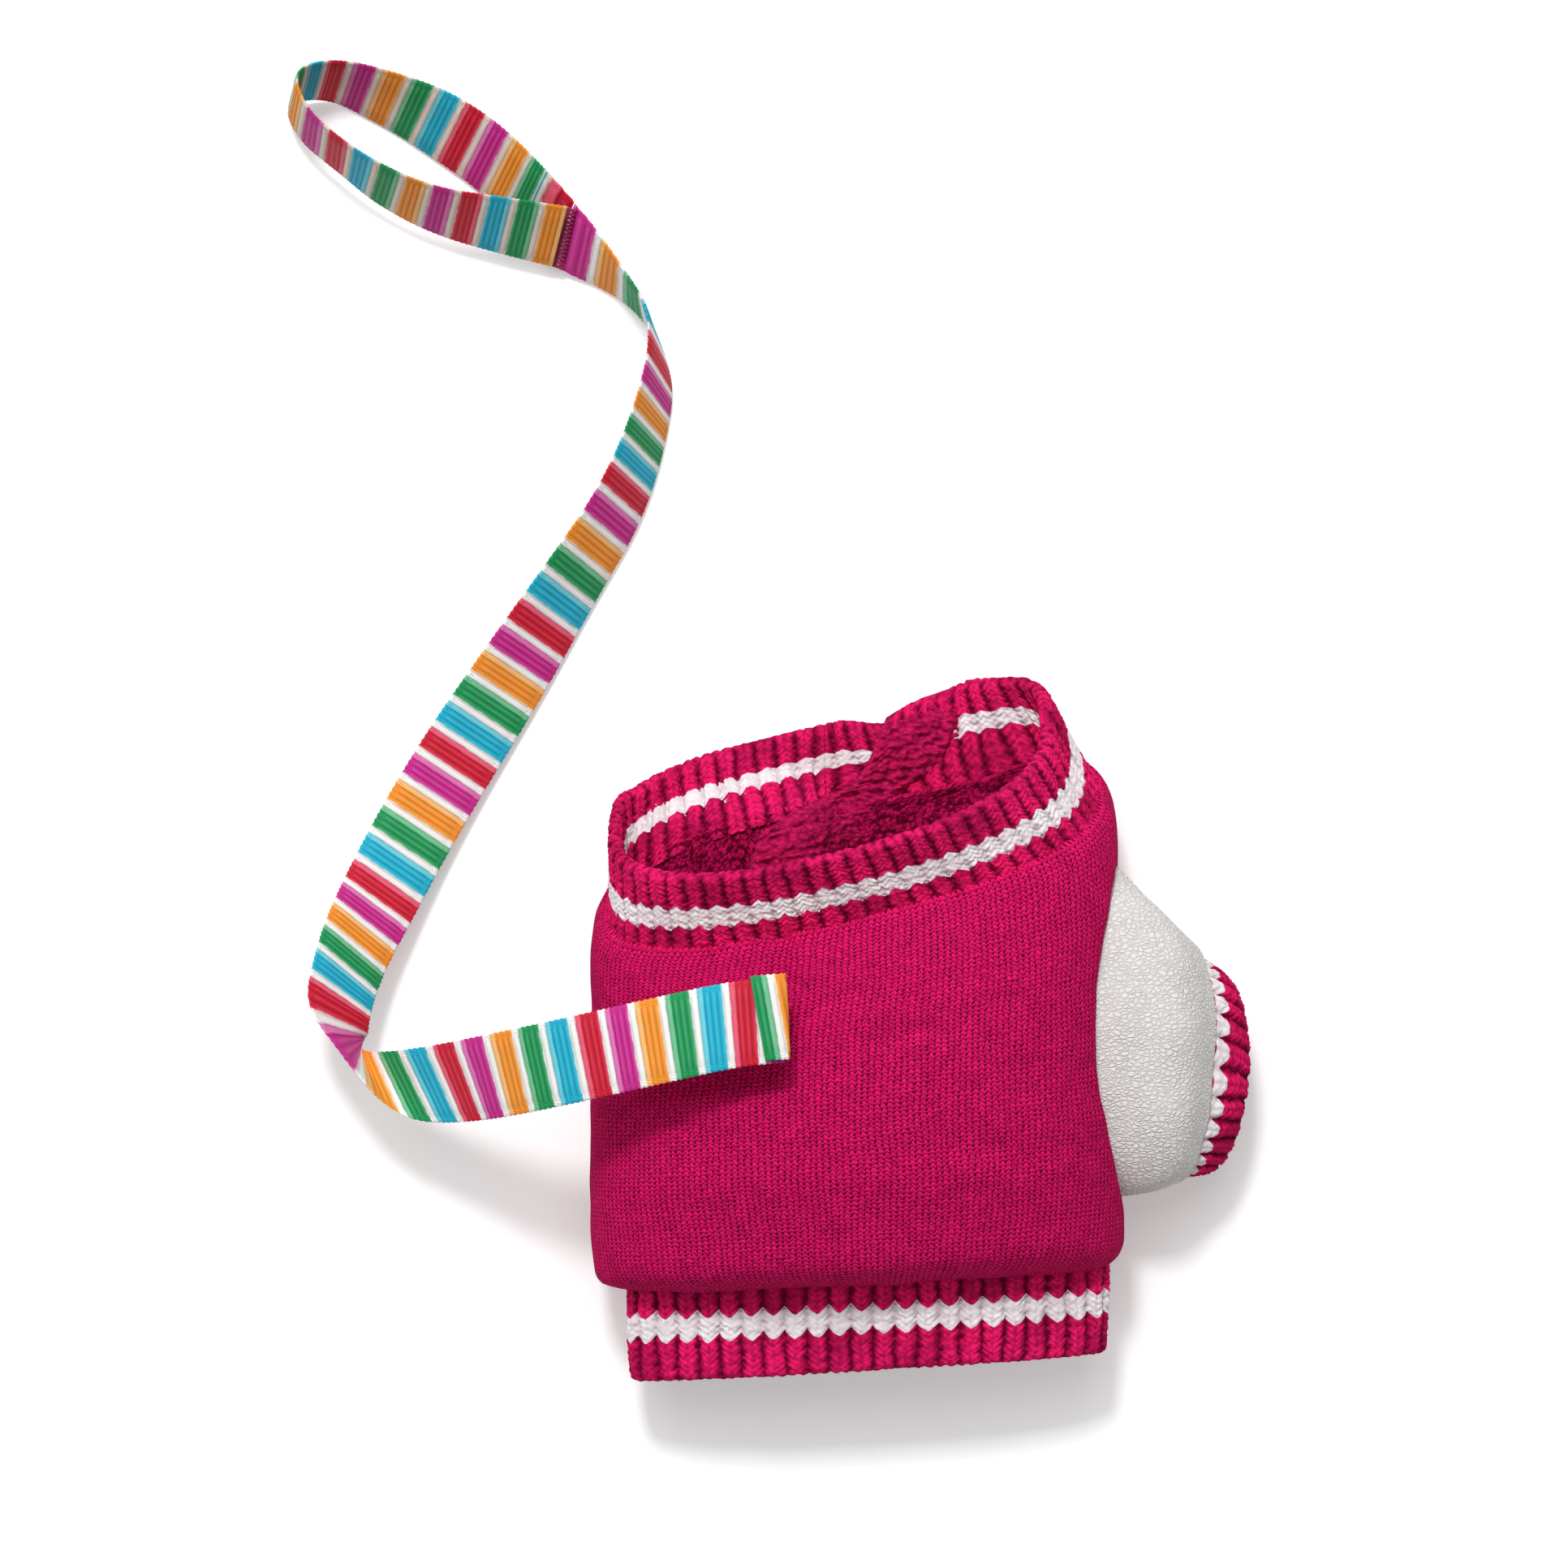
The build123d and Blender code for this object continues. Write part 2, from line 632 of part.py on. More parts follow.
def ribbon_solid(stations, lift=0.0):
    """A flat strip through the stations, lift millimetres off its middle line."""
    upper = []
    lower = []
    for middle, tangent, edge in stations:
        normal = tangent.cross(edge).normalized()
        for grid, side in ((upper, 0.5), (lower, -0.5)):
            row = []
            for across in (-0.5, 0.5):
                point = middle + edge * (across * ribbon_width) + normal * (lift + side * ribbon_thickness)
                row.append((point.X, point.Y, point.Z))
            grid.append(row)
    return layer_solid(upper, lower)


STATION_SPACING = 2.6
for name, route in (("lead_ribbon", LEAD_ROUTE), ("lead_hand_loop", LOOP_ROUTE)):
    radii = corner_radii([stop[0] for stop in route])
    print(name, "corner radii:", " ".join(f"{radius:.1f}" for radius in radii))
    length, stations = ribbon_stations(route, STATION_SPACING)
    if name == "lead_hand_loop":
        loop_stations = stations
    else:
        lead_stations = stations
    parts[name] = ribbon_solid(stations)
    expected = length * ribbon_width * ribbon_thickness
    print(f"{name}: {length:.1f} mm long, volume {parts[name].volume:.0f}, section x length {expected:.0f}")

# The ribbon's end is turned over on top of itself and sewn down.
hem_stations = [station for station in lead_stations if station[0].X > LEAD_ROUTE[0][0][0] - hem_length]
parts["lead_end_hem"] = ribbon_solid(hem_stations, lift=-(ribbon_thickness + gap))


# ------------------------------------------------------------------ bar tack and hand stitches
end_middle, end_tangent, end_edge = lead_stations[-1]
end_normal = end_tangent.cross(end_edge).normalized()
tack_back = thread + 4 * gap                     # how far the bar tack lies back from the lead's end
tack_lift = ribbon_thickness / 2 + 2 * gap + thread / 2
selvage_margin = 0.5                             # the tack stops this short of each selvage
tack_plane = Plane(
    origin=end_middle - end_tangent * tack_back + end_normal * tack_lift,
    x_dir=end_edge,
    z_dir=end_normal,
)
parts["lead_bar_tack"] = tack_plane * Box(ribbon_width - 2 * selvage_margin, thread, thread)

STITCH_SPACING = 1.0         # the hand stitches' legs stand this far apart
STITCH_COUNT = 3
stitch_margin = 1.2          # and this far in from the ribbon's selvage
fold_point = lead_stations[0][0] + lead_stations[0][2] * (ribbon_width / 2 - stitch_margin)
stitch_top_z = fold_point.Z - ribbon_thickness / 2 - gap
stitches = []
standing = (Align.CENTER, Align.CENTER, Align.MIN)
for index in range(STITCH_COUNT):
    foot_x = fold_point.X - (index + 0.5) * STITCH_SPACING
    column = Pos(foot_x, fold_point.Y, 0) * Cylinder(stitch / 2, stitch_top_z, align=standing)
    stitches.append(max(solids_of(column - back), key=lambda solid: solid.center().Z))
parts["lead_tack_stitches"] = Compound(children=stitches)

bottom = min(parts[name].bounding_box().min.Z for name in parts)
print(f"lowest point {bottom:.2f}")
jacket = [parts[name].bounding_box() for name in parts if not name.startswith("lead_")]
for axis in "XYZ":
    low = min(getattr(box.min, axis) for box in jacket)
    high = max(getattr(box.max, axis) for box in jacket)
    print(f"jacket {axis} from {low:.2f} to {high:.2f}, middle {(low + high) / 2:.2f}")

# ------------------------------------------------------------------ write
for name, shape in parts.items():
    export_step(Compound(children=solids_of(shape)), f"parts/{name}.step")
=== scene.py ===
import math

import bmesh
import bpy
import numpy as np
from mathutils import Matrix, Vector


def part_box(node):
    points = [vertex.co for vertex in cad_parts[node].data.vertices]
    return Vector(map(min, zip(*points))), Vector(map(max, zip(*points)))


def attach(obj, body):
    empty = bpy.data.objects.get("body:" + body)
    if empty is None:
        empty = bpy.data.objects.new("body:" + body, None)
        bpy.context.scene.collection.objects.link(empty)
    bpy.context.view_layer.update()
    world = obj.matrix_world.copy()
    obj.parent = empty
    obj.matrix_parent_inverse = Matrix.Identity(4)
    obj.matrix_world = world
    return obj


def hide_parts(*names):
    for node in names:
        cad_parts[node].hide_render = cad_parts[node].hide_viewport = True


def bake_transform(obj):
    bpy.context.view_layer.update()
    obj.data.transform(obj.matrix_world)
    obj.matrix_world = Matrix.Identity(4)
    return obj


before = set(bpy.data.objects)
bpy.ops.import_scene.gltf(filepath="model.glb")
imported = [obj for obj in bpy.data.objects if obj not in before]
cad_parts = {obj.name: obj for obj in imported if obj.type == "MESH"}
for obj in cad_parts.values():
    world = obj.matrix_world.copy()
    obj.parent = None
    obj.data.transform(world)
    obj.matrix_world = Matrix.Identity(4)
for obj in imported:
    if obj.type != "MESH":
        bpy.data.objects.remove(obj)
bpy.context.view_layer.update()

# The shapes are worked out in millimetres, as in the frame's source, and written in metres.
MM = 0.001


def frame_box(node):
    low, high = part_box(node)
    return low / MM, high / MM


def metres(*point):
    return tuple(value * MM for value in point)


# -------- camera and lamps
CAMERA_PLACE = (-15.7, 28.7, 650.0)
FIELD_WIDTH = 183.5  # of the table that the camera sees
SENSOR = 36.0  # width of the camera's film
# name, place and size in metres, and power in watts
LAMPS = (
    ("key", (-0.16, 0.66, 1.05), 0.16, 7.4),
    ("broad_key", (-0.16, 0.66, 1.05), 1.0, 6.6),
    ("fill", (0.7, -0.3, 1.1), 1.2, 1.3),
    ("low_fill", (-0.75, -0.4, 1.0), 1.2, 1.8),
)


def make_camera():
    data = bpy.data.cameras.new("camera")
    data.sensor_width = SENSOR
    data.lens = SENSOR * CAMERA_PLACE[2] / FIELD_WIDTH
    camera = bpy.data.objects.new("camera", data)
    camera.location = Vector(CAMERA_PLACE) * MM
    bpy.context.scene.collection.objects.link(camera)
    bpy.context.scene.camera = camera


def make_lamp(name, place, size, energy):
    data = bpy.data.lights.new(name, "AREA")
    data.size = size
    data.energy = energy
    lamp = bpy.data.objects.new(name, data)
    lamp.location = place
    lamp.rotation_mode = "QUATERNION"
    lamp.rotation_quaternion = (-Vector(place)).to_track_quat("-Z", "Y")
    bpy.context.scene.collection.objects.link(lamp)


make_camera()
for lamp_settings in LAMPS:
    make_lamp(*lamp_settings)
bpy.context.scene.view_settings.view_transform = "Standard"


# -------- materials
class Value:
    """What a material's nodes work out at a point, used in sums like a plain number."""

    def __init__(self, graph, socket):
        self.graph = graph
        self.socket = socket

    def __add__(self, other):
        return self.graph.math("ADD", self, other)

    def __sub__(self, other):
        return self.graph.math("SUBTRACT", self, other)

    def __rsub__(self, other):
        return self.graph.math("SUBTRACT", other, self)

    def __mul__(self, other):
        return self.graph.math("MULTIPLY", self, other)

    def __truediv__(self, other):
        return self.graph.math("DIVIDE", self, other)

    def __pow__(self, other):
        return self.graph.math("POWER", self, other)

    def __abs__(self):
        return self.graph.math("ABSOLUTE", self)

    def clamped(self):
        """The same, kept between 0 and 1."""
        self.socket.node.use_clamp = True
        return self


MIX_SHARE, MIX_FIRST, MIX_SECOND = 0, 6, 7  # the Mix node's inputs for colours
MIX_RESULT = 2  # and its output for them


class Graph:
    """A material and its nodes."""

    def __init__(self, name):
        self.material = bpy.data.materials.new(name)
        self.material.use_nodes = True
        self.nodes = self.material.node_tree.nodes
        self.links = self.material.node_tree.links
        self.shader = self.nodes["Principled BSDF"]

    def put(self, socket, value):
        if isinstance(value, Value):
            self.links.new(value.socket, socket)
        else:
            socket.default_value = value

    def node(self, kind, output, inputs=None, **settings):
        """One output of a new node; its inputs go by name or by place."""
        node = self.nodes.new("ShaderNode" + kind)
        for name, value in settings.items():
            setattr(node, name, value)
        for name, value in (inputs or {}).items():
            self.put(node.inputs[name], value)
        return Value(self, node.outputs[output])

    def math(self, operation, *values):
        return self.node("Math", 0, dict(enumerate(values)), operation=operation)

    def fraction(self, value):
        return self.math("FRACT", value)

    def mix(self, share, first, second):
        inputs = {MIX_SHARE: share, MIX_FIRST: first, MIX_SECOND: second}
        return self.node("Mix", MIX_RESULT, inputs, data_type="RGBA")

    def darker(self, tone, factor):
        """A colour times a factor."""
        return self.node("VectorMath", 0, {0: tone, "Scale": factor}, operation="SCALE")

    def ramp(self, value, low, high):
        """0 below low, 1 above high, and smooth between; the other way round if low is above high."""
        inputs = {"Value": value, "From Min": low, "From Max": high}
        return self.node("MapRange", "Result", inputs, interpolation_type="SMOOTHSTEP")

    def uv(self):
        place = self.node("UVMap", "UV", uv_map="cloth")
        return [self.node("SeparateXYZ", axis, {0: place}) for axis in "XY"]

    def place(self):
        return self.node("NewGeometry", "Position")

    def vector(self, x, y):
        return self.node("CombineXYZ", 0, {0: x, 1: y})

    def stretched(self, vector, scale):
        return self.node("Mapping", 0, {"Vector": vector, "Scale": scale})

    def noise(self, vector, scale, detail=2.0, rough=0.5, output="Fac"):
        inputs = {"Vector": vector, "Scale": scale, "Detail": detail, "Roughness": rough}
        return self.node("TexNoise", output, inputs)

    def cells(self, vector, scale, feature="F1"):
        return self.node("TexVoronoi", "Distance", {"Vector": vector, "Scale": scale}, feature=feature)

    def chance(self, column, row):
        """A number from 0 to 1 for each whole column and row."""
        place = self.vector(self.math("FLOOR", column), self.math("FLOOR", row))
        return self.node("TexWhiteNoise", "Value", {"Vector": place}, noise_dimensions="2D")

    def attribute(self, name):
        return self.node("Attribute", "Fac", attribute_name=name)

    def bump(self, height, millimetres, strength, under=None):
        inputs = {"Strength": strength, "Distance": millimetres * MM, "Height": height}
        if under is not None:
            inputs["Normal"] = under
        return self.node("Bump", "Normal", inputs)

    def finish(self, tone, roughness, specular, relief=None):
        """The material, with its colour, gloss and relief set."""
        values = {"Base Color": tone, "Roughness": roughness, "Specular IOR Level": specular}
        if relief is not None:
            values["Normal"] = relief
        for name, value in values.items():
            self.put(self.shader.inputs[name], value)
        return self.material


def colour(code):
    """A linear colour from its #rrggbb code."""
    values = [int(code[i:i + 2], 16) / 255 for i in (1, 3, 5)]
    linear = [v / 12.92 if v <= 0.04045 else ((v + 0.055) / 1.055) ** 2.4 for v in values]
    return (*linear, 1.0)


WALE = 0.74  # one column of the fleece's jersey face
COURSE = 0.52  # and one row
MAGENTA_DARK = colour("#500018")
MAGENTA_LIGHT = colour("#f41c72")
KNIT_ROUGH = 0.95


def fleece_material():
    """Jersey face outside, and short looped terry where the attribute inside is 1."""
    g = Graph("fleece")
    across, along = g.uv()
    place = g.vector(across, along)
    warp = g.noise(place, 0.16) - 0.5
    jitter = g.noise(place, 1.3) - 0.5
    hitch = g.noise(g.vector(along, across), 1.7) - 0.5
    column = across / WALE + (warp + jitter * 0.85)
    aside = g.fraction(column) - 0.5
    inside = abs(aside)
    row = along / COURSE + (inside * 1.25 + hitch * 1.1)
    own = g.chance(column, row) - 0.5
    phase = abs(g.fraction(row) - 0.5)
    yarn = 1.0 - (phase * 2.0) ** 2.0
    edge = g.ramp(inside + aside * 0.22 + own * 0.12, 0.22, 0.5)
    hole = edge * (1.0 - yarn * 0.6)
    stitch = (yarn * 0.62 + 0.30 - hole * 0.72).clamped()
    loops = g.cells(g.vector(across * 1.2, along), 2.1)
    terry = (0.9 - loops * 0.9).clamped()
    pile = g.attribute("inside")
    weave = stitch * (1.0 - pile) + terry * pile
    fuzz = g.noise(place, 5.0, 3.0, 0.7) - 0.5
    patch = g.noise(place, 0.45, 4.0, 0.6) - 0.5
    light = weave * (own * 0.3 + 1.0) + (fuzz + patch * 0.5)
    light = (light - pile * 0.2).clamped()
    tone = g.mix(light, MAGENTA_DARK, MAGENTA_LIGHT)
    return g.finish(tone, KNIT_ROUGH, 0.04, g.bump(fuzz, 0.12, 0.7, g.bump(weave, 0.22, 0.8)))


EDGE_SOFT = 0.06  # half the blur of the white stripe's edges
INNER_SHIFT = 0.85  # the stripe stands nearer the rim on the inside
INNER_NARROW = 0.6  # and is narrower there


def rib_material(name, stripe_low, stripe_high, slope, roundness):
    """Rib knit: UV x counts the ribs, y is the distance from the rim, negative on the inside. The
    arms of the stripe's stitches climb by slope to the rib's sides, by a power of roundness."""
    g = Graph(name)
    across, along = g.uv()
    inner = g.math("LESS_THAN", along, 0.0)
    off = abs(g.fraction(across + inner * 0.5) - 0.5) * 2.0
    place = g.vector(across * 2.5, along)
    wander = (g.noise(place, 1.3) - 0.5) * 0.28
    lean = off ** roundness * ((1.0 - inner * 0.5) * slope)
    climb = abs(along) + wander - lean + inner * INNER_SHIFT
    low_edge = g.ramp(climb, stripe_low - EDGE_SOFT, stripe_low + EDGE_SOFT)
    high_edge = g.ramp(climb + inner * INNER_NARROW, stripe_high + EDGE_SOFT, stripe_high - EDGE_SOFT)
    eye_low = g.ramp(climb, stripe_high - 0.42, stripe_high - 0.34)
    eye_high = g.ramp(climb, stripe_high - 0.16, stripe_high - 0.24)
    eye = g.ramp(off, 0.78, 0.9) * (eye_low * eye_high)
    white = low_edge * high_edge * (1.0 - eye * 0.75)
    fuzz = g.noise(place, 5.0, 3.0, 0.65)
    # painted shade and highlight: the relief field darkens the pink and the white stripe in the valleys
    # between the ribs and lightens them on the yarn's crowns
    light = (g.attribute("relief") ** 1.2 * 0.95 + (fuzz - 0.42) * 0.7).clamped()
    pink = g.mix(light, colour("#560022"), colour("#f8206f"))
    pale = g.mix(light ** 0.6, colour("#d0bec5"), colour("#faf4f6"))
    strand = g.noise(g.vector(across * 9.0, climb * 4.0), 2.2)
    relief = g.bump(fuzz, 0.08, 0.5, g.bump(strand, 0.10, 0.5))
    return g.finish(g.mix(white, pink, pale), KNIT_ROUGH, 0.05, relief)


def leather_material():
    """Coated cloth with a fine pebbled grain, a little wider than long."""
    g = Graph("sleeve_leather")
    place = g.place()
    drift = g.noise(place, 900.0, output="Color")
    warped = g.node("VectorMath", 0, {0: drift, 1: (0.0007, 0.0007, 0.0007), 2: place},
                    operation="MULTIPLY_ADD")
    grain = g.cells(g.stretched(warped, (1400.0, 2300.0, 1900.0)), 1.0, "DISTANCE_TO_EDGE")
    soft = g.noise(place, 240.0)
    height = g.ramp(grain, 0.0, 0.26) * (soft + 0.4) + soft * 0.8
    tone = g.mix(g.ramp(grain, 0.0, 0.13), colour("#cdcbc8"), colour("#e9e7e4"))
    fine = g.noise(place, 2600.0, 3.0)
    return g.finish(tone, 0.6, 0.2, g.bump(fine, 0.02, 0.6, g.bump(height, 0.12, 0.85)))


CROSS_RIB = 0.712  # one cross-rib of the grosgrain
RIBS_PER_COLOUR = 5  # each colour and the pale gap after it
COLOUR_LENGTH = CROSS_RIB * RIBS_PER_COLOUR
RIBBON_WIDTH = 9.5
SELVAGE = 0.85
SELVAGE_PITCH = 0.34  # of the selvage's threads
STRIPES = ("#d1002c", "#00b2d2", "#009753", "#f69322", "#cb188c")
TINTS = ("#fb7190", "#86e0ec", "#8cd8ac", "#ffd28c", "#ee8cca")


def ribbon_material(name, paper_tone="#f9f7f4", shade=1.0):
    """UV x counts the colours along the ribbon and y is the distance across from the middle."""
    g = Graph(name)
    along, across = g.uv()
    travel = along + (g.noise(g.vector(along * 3.5, across), 0.8) - 0.5) * 0.07
    share = g.fraction(travel)
    count = g.math("FLOORED_MODULO", g.math("FLOOR", travel), float(len(STRIPES)))
    solid, tint = colour(STRIPES[0]), colour(TINTS[0])
    for index in range(1, len(STRIPES)):
        chosen = g.math("GREATER_THAN", count, index - 0.5)
        solid = g.mix(chosen, solid, colour(STRIPES[index]))
        tint = g.mix(chosen, tint, colour(TINTS[index]))
    paper = colour(paper_tone)
    pale = (g.ramp(share, 0.78, 0.83) + g.ramp(share, 0.05, 0.02)).clamped()
    half = (g.ramp(share, 0.61, 0.66) + g.ramp(share, 0.09, 0.05)).clamped()
    tone = g.mix(pale, g.mix(half * 0.62, solid, tint), paper)
    wave = g.math("SINE", along * (math.pi * RIBS_PER_COLOUR))
    ribs = abs(wave)
    inner_half = RIBBON_WIDTH / 2 - SELVAGE
    edge = g.ramp(abs(across), inner_half - 0.1, inner_half + 0.1)
    # painted shade in the grooves between the cross-ribs, and painted highlight on their crests
    groove_shade = g.ramp(ribs, 0.75, 0.05) * (1.0 - edge * 0.7)
    crest_highlight = g.ramp(ribs, 0.8, 1.0) * (1.0 - edge * 0.6) * (1.0 - pale)
    tone = g.mix(crest_highlight * 0.16, tone, tint)
    weave = g.noise(g.vector(along * 2.0, across * 3.0), 4.0)
    tone = g.mix(weave * 0.03, tone, paper)
    tone = g.darker(tone, shade - groove_shade * 0.30)
    chequer = g.math("SINE", across * (2 * math.pi / SELVAGE_PITCH)) * wave
    height = (edge * (chequer + 1.0) + weave) * 0.5
    return g.finish(tone, 0.6, 0.2, g.bump(height, 0.07, 0.5))


def loops_material(name, dark, light, size=1.4):
    """Short looped pile, streaked across."""
    g = Graph(name)
    place = g.place()
    loops = g.cells(g.stretched(place, (900.0 * size, 1500.0 * size, 900.0 * size)), 1.0)
    fuzz = g.noise(place, 5200.0, 3.0)
    tone = g.mix(((0.9 - loops) * 0.8 + fuzz * 0.4).clamped(), colour(dark), colour(light))
    return g.finish(tone, KNIT_ROUGH, 0.05, g.bump(fuzz, 0.08, 0.5, g.bump(1.0 - loops, 0.25, 0.8)))


def thread_material(name, code):
    g = Graph(name)
    twist = g.noise(g.place(), 4200.0, 3.0)
    tone = colour(code)
    shaded = [value * 0.7 for value in tone[:3]] + [1.0]
    return g.finish(g.mix(twist, shaded, tone), 0.7, 0.5, g.bump(twist, 0.06, 0.6))


# -------- floor and world
WORLD_LIGHT = 0.20
FLOOR_GLOW = 0.27  # keeps the unshaded floor white where it is looked at
FLOOR_HALF = 3.0  # metres
FLOOR_PLACE = -0.02 * MM  # just under the jacket


def floor_material():
    g = Graph("floor")
    g.finish((0.9, 0.9, 0.9, 1.0), 0.9, 0.1)
    camera, glossy, through_glass = (
        g.node("LightPath", ray) for ray in ("Is Camera Ray", "Is Glossy Ray", "Is Transmission Ray"))
    seen = (camera + glossy + through_glass).clamped()
    glow = g.node("Emission", 0, {"Strength": seen * FLOOR_GLOW})
    both = g.node("AddShader", 0, {0: Value(g, g.shader.outputs[0]), 1: glow})
    g.put(g.nodes["Material Output"].inputs["Surface"], both)
    return g.material


def make_floor():
    mesh = bpy.data.meshes.new("floor")
    square = ((-1, -1), (1, -1), (1, 1), (-1, 1))
    corners = [(x * FLOOR_HALF, y * FLOOR_HALF, FLOOR_PLACE) for x, y in square]
    mesh.from_pydata(corners, [], [(0, 1, 2, 3)])
    mesh.materials.append(floor_material())
    floor = bpy.data.objects.new("floor", mesh)
    bpy.context.scene.collection.objects.link(floor)


def make_world():
    world = bpy.data.worlds.new("world")
    bpy.context.scene.world = world
    world.use_nodes = True
    background = world.node_tree.nodes["Background"]
    background.inputs["Color"].default_value = (1.0, 1.0, 1.0, 1.0)
    background.inputs["Strength"].default_value = WORLD_LIGHT


make_floor()
make_world()


# -------- meshes from grids of points
def grid_faces(rows, columns, keep=None):
    index = np.arange(rows * columns).reshape(rows, columns)
    quads = np.stack([index[:-1, :-1], index[:-1, 1:], index[1:, 1:], index[1:, :-1]], axis=-1)
    if keep is not None:
        quads = quads[keep]
    return quads.reshape(-1, 4)


def border_edges(quads, count):
    """Directed edges that only one face has."""
    first = quads.ravel()
    second = np.roll(quads, -1, axis=1).ravel()
    code = first.astype(np.int64) * count + second
    other = second.astype(np.int64) * count + first
    alone = ~np.isin(code, other)
    return first[alone], second[alone]


def make_mesh(name, points, quads, uv, material, fields=None):
    """points in millimetres; uv and each of the named fields have a row for each point."""
    used, quads = np.unique(quads, return_inverse=True)
    quads = quads.reshape(-1, 4)
    points = points[used]
    uv = uv[used]
    mesh = bpy.data.meshes.new(name)
    mesh.vertices.add(len(points))
    mesh.vertices.foreach_set("co", (points * MM).astype(np.float32).ravel())
    mesh.loops.add(quads.size)
    mesh.loops.foreach_set("vertex_index", quads.astype(np.int32).ravel())
    mesh.polygons.add(len(quads))
    mesh.polygons.foreach_set("loop_start", np.arange(0, quads.size, 4, dtype=np.int32))
    mesh.polygons.foreach_set("loop_total", np.full(len(quads), 4, dtype=np.int32))
    mesh.update(calc_edges=True)
    layer = mesh.uv_layers.new(name="cloth")
    layer.data.foreach_set("uv", uv[quads.ravel()].astype(np.float32).ravel())
    for field, values in (fields or {}).items():
        attribute = mesh.attributes.new(field, "FLOAT", "POINT")
        attribute.data.foreach_set("value", values[used].astype(np.float32))
    work = bmesh.new()
    work.from_mesh(mesh)
    bmesh.ops.recalc_face_normals(work, faces=work.faces)
    work.to_mesh(mesh)
    work.free()
    mesh.polygons.foreach_set("use_smooth", np.ones(len(quads), dtype=bool))
    mesh.materials.append(material)
    piece = bpy.data.objects.new(name, mesh)
    bpy.context.scene.collection.objects.link(piece)
    return piece


def layer_piece(name, outer, inner, uv, material, keep=None):
    """A closed layer of cloth between two grids of points alike, with walls along every border."""
    rows, columns = outer.shape[:2]
    count = rows * columns
    quads = grid_faces(rows, columns, keep)
    first, second = border_edges(quads, count)
    walls = np.stack([second, first, first + count, second + count], axis=1)
    faces = np.concatenate([quads, quads[:, ::-1] + count, walls])
    points = np.concatenate([outer.reshape(-1, 3), inner.reshape(-1, 3)])
    both = np.concatenate([uv.reshape(-1, 2)] * 2)
    return make_mesh(name, points, faces, both, material, {"inside": np.repeat([0.0, 1.0], count)})


def pair_grid(first, second):
    """A grid of pairs, from two grids or rows of numbers."""
    return np.stack(np.broadcast_arrays(first, second), axis=-1)


def unit(vectors):
    return vectors / np.maximum(np.linalg.norm(vectors, axis=-1, keepdims=True), 1e-9)


def normals_of(grid):
    """Unit normals of a grid of points, by its rows and columns."""
    return unit(np.cross(np.gradient(grid, axis=1), np.gradient(grid, axis=0)))


def turned(normals, sample, outward):
    """The normals, all turned round if a sample of them points against outward."""
    return -normals if np.sum(sample * outward) < 0 else normals


def path_lengths(grid, axis):
    """Distance along each row or column of a grid, from its first point."""
    steps = np.linalg.norm(np.diff(grid, axis=axis), axis=-1)
    pad = [(0, 0), (0, 0)]
    pad[axis] = (1, 0)
    return np.cumsum(np.pad(steps, pad), axis=axis)


def line_lengths(line):
    return path_lengths(line[None], 1)[0]


def at_lengths(lengths, at, points):
    """Points on a line at distances along it."""
    return np.stack([np.interp(at, lengths, points[:, axis]) for axis in range(3)], axis=-1)


# -------- smooth functions
def smooth(share):
    share = np.clip(share, 0.0, 1.0)
    return share * share * (3 - 2 * share)


def bell(value, width):
    """1 where value is 0, and next to nothing two widths away."""
    return np.exp(-(value / width) ** 2)


def hermite(knots, values, slopes, at):
    """A smooth curve through the values at the knots, with the slopes there."""
    at = np.asarray(at, float)
    i = np.clip(np.searchsorted(knots, at) - 1, 0, len(knots) - 2)
    shape = at.shape + (1,) * (values.ndim - 1)
    step = (knots[i + 1] - knots[i]).reshape(shape)
    t = (at - knots[i]).reshape(shape) / step
    curve = (2 * t**3 - 3 * t**2 + 1) * values[i] + (t**3 - 2 * t**2 + t) * step * slopes[i]
    return curve + (3 * t**2 - 2 * t**3) * values[i + 1] + (t**3 - t**2) * step * slopes[i + 1]


def gentle_slopes(values, knots):
    """Slopes at the knots for a curve that never passes beyond its values."""
    steps = np.diff(knots)[:, None]
    rise = np.diff(values, axis=0) / steps
    slopes = np.empty(values.shape)
    slopes[0], slopes[-1] = rise[0], rise[-1]
    before, after = rise[:-1], rise[1:]
    first, second = 2 * steps[1:] + steps[:-1], steps[1:] + 2 * steps[:-1]
    together = before * after > 0
    safe_before = np.where(together, before, 1.0)
    safe_after = np.where(together, after, 1.0)
    slopes[1:-1] = np.where(together, (first + second) / (first / safe_before + second / safe_after), 0.0)
    return slopes


def hand_line(pairs):
    """A smooth function through given pairs, level past the first and the last."""
    knots, values = np.array(pairs, float).T
    slopes = gentle_slopes(values[:, None], knots)[:, 0]
    return lambda at: hermite(knots, values, slopes, np.clip(at, knots[0], knots[-1]))


RIPPLE_WAVES = 7


def ripple(u, v, size, seed):
    """Soft irregular waves from -1 to 1, about size across."""
    rng = np.random.default_rng(seed)
    total = np.zeros(np.broadcast(u, v).shape)
    for _ in range(RIPPLE_WAVES):
        angle = rng.uniform(0, 2 * math.pi)
        pitch = 2 * math.pi / (size * rng.uniform(0.7, 1.7))
        total += np.sin(pitch * (u * math.cos(angle) + v * math.sin(angle)) + rng.uniform(0, 6.3))
    return total / RIPPLE_WAVES


